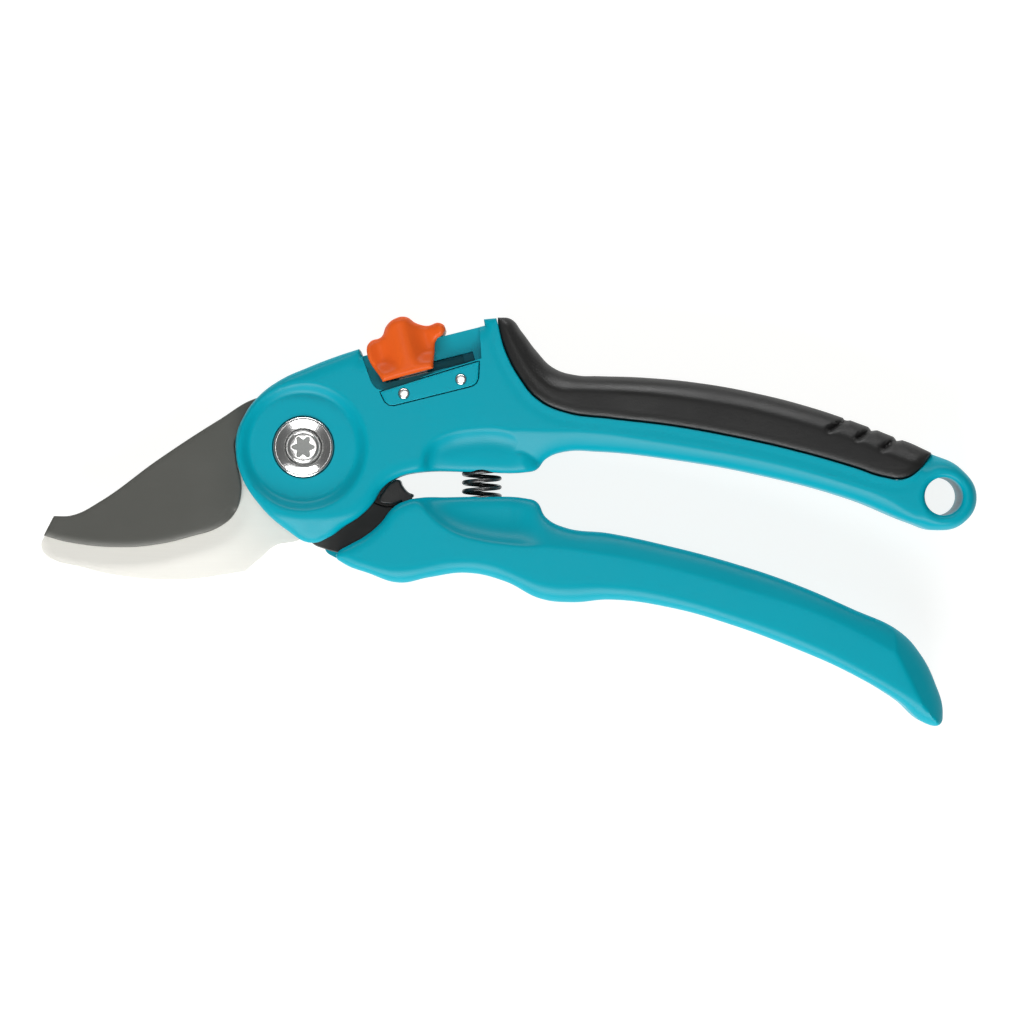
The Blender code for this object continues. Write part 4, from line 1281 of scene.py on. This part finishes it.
# %% [markdown]
# The parts inside keep their CAD shapes, because the housing hides them, and so do the pins and
# the nut, whose flat ends show at the back. They need their own metals, except the bolt: the
# slider's lower edge leaves a little of its top open to view, so the bolt is painted black there,
# as painted shade in the gap under the slider.

# %% Finishes of the carried CAD nodes
CARRIED = {
    "pivot_nut": PIN_STEEL,
    "pivot_bush": BUSH_BRONZE,
    "friction_washer": BRIGHT_STEEL,
    # painted shade: the bolt takes the black spring steel so that its visible edge reads as shadow
    "lock_bolt": SPRING_STEEL,
    "lock_detent_spring": SPRING_STEEL,
    **dict.fromkeys(COUNTER_PINS + CUTTING_PINS, PIN_STEEL),
}
for node, look in CARRIED.items():
    for slot in frame["nodes"][node].material_slots:
        slot.material = look
print(len(CARRIED), "CAD nodes carried over")

# %% [markdown]
# The shears lie on a white table between two long softboxes, a strong one on the lower side and a
# narrow one beyond the upper side. Facets that lean to a softbox turn bright. A small one high
# above gives the flat metal its shine. The table itself glows, as a light table does, so that the
# shadows stay faint.

# %% Floor, lights and camera
FLOOR_GREYS = (0.26, 0.24)
FLOOR_SIZE = 2500
FLOOR_GLOW = 0.86
LIGHT_TARGET = (0.046, -0.014, 0.01)
WORLD_LIGHT = 0.12


def floor_look():
    finish = Finish("light_table_white", 0.6)
    cloud = finish.noise(3.0)
    light, dark = [tone(grey, grey, grey) for grey in FLOOR_GREYS]
    finish.wear_on("Base Color", finish.mix(cloud, light, dark))
    finish.wear_on("Emission Color", tone(1.0, 1.0, 0.985))
    finish.wear_on("Emission Strength", FLOOR_GLOW)
    return finish.material


floor_shape = bmesh.new()
bmesh.ops.create_grid(floor_shape, x_segments=4, y_segments=4, size=FLOOR_SIZE)
bmesh.ops.translate(floor_shape, verts=floor_shape.verts, vec=(0, 0, HANDLE_BACK - 0.1))
floor = blank("table", floor_shape)
floor.data.materials.append(floor_look())


def softbox(name, place, size, power):
    """An area light that faces the shears, in metres and watts."""
    lamp = bpy.data.lights.new(name, "AREA")
    lamp.shape = "RECTANGLE"
    lamp.size, lamp.size_y = size
    lamp.energy = power
    made = bpy.data.objects.new(name, lamp)
    bpy.context.scene.collection.objects.link(made)
    made.location = place
    towards = Vector(LIGHT_TARGET) - made.location
    made.rotation_euler = towards.to_track_quat("-Z", "Y").to_euler()


softbox("softbox_far", (0.03, 0.66, 0.39), (0.9, 0.16), 4.2)
softbox("softbox_near", (-0.06, -0.64, 0.38), (0.6, 0.4), 7.0)
softbox("softbox_top", (0.046, -0.014, 1.35), (0.36, 0.36), 1.5)

world = bpy.data.worlds.new("studio")
world.use_nodes = True
background = world.node_tree.nodes["Background"].inputs
background["Color"].default_value = tone(1.0, 1.0, 1.0)
background["Strength"].default_value = WORLD_LIGHT
bpy.context.scene.world = world
bpy.context.scene.view_settings.view_transform = "Standard"

VIEW_CENTRE = (46.6, -14.5)
VIEW_WIDTH = 230.4
LENS = 140.0
camera_data = bpy.data.cameras.new("camera")
camera_data.lens = LENS
distance = VIEW_WIDTH * LENS / camera_data.sensor_width
camera = bpy.data.objects.new("camera", camera_data)
camera.location = Vector((*VIEW_CENTRE, MID_PLANE + distance)) * MM
bpy.context.scene.collection.objects.link(camera)
bpy.context.scene.camera = camera
print(f"camera {distance:.0f} mm above the shears")

# %% [markdown]
# Last, the faces of all the finished pieces are counted.

# %% Face count, and the end
print("total faces:", sum(len(piece.data.polygons) for piece in made_pieces))
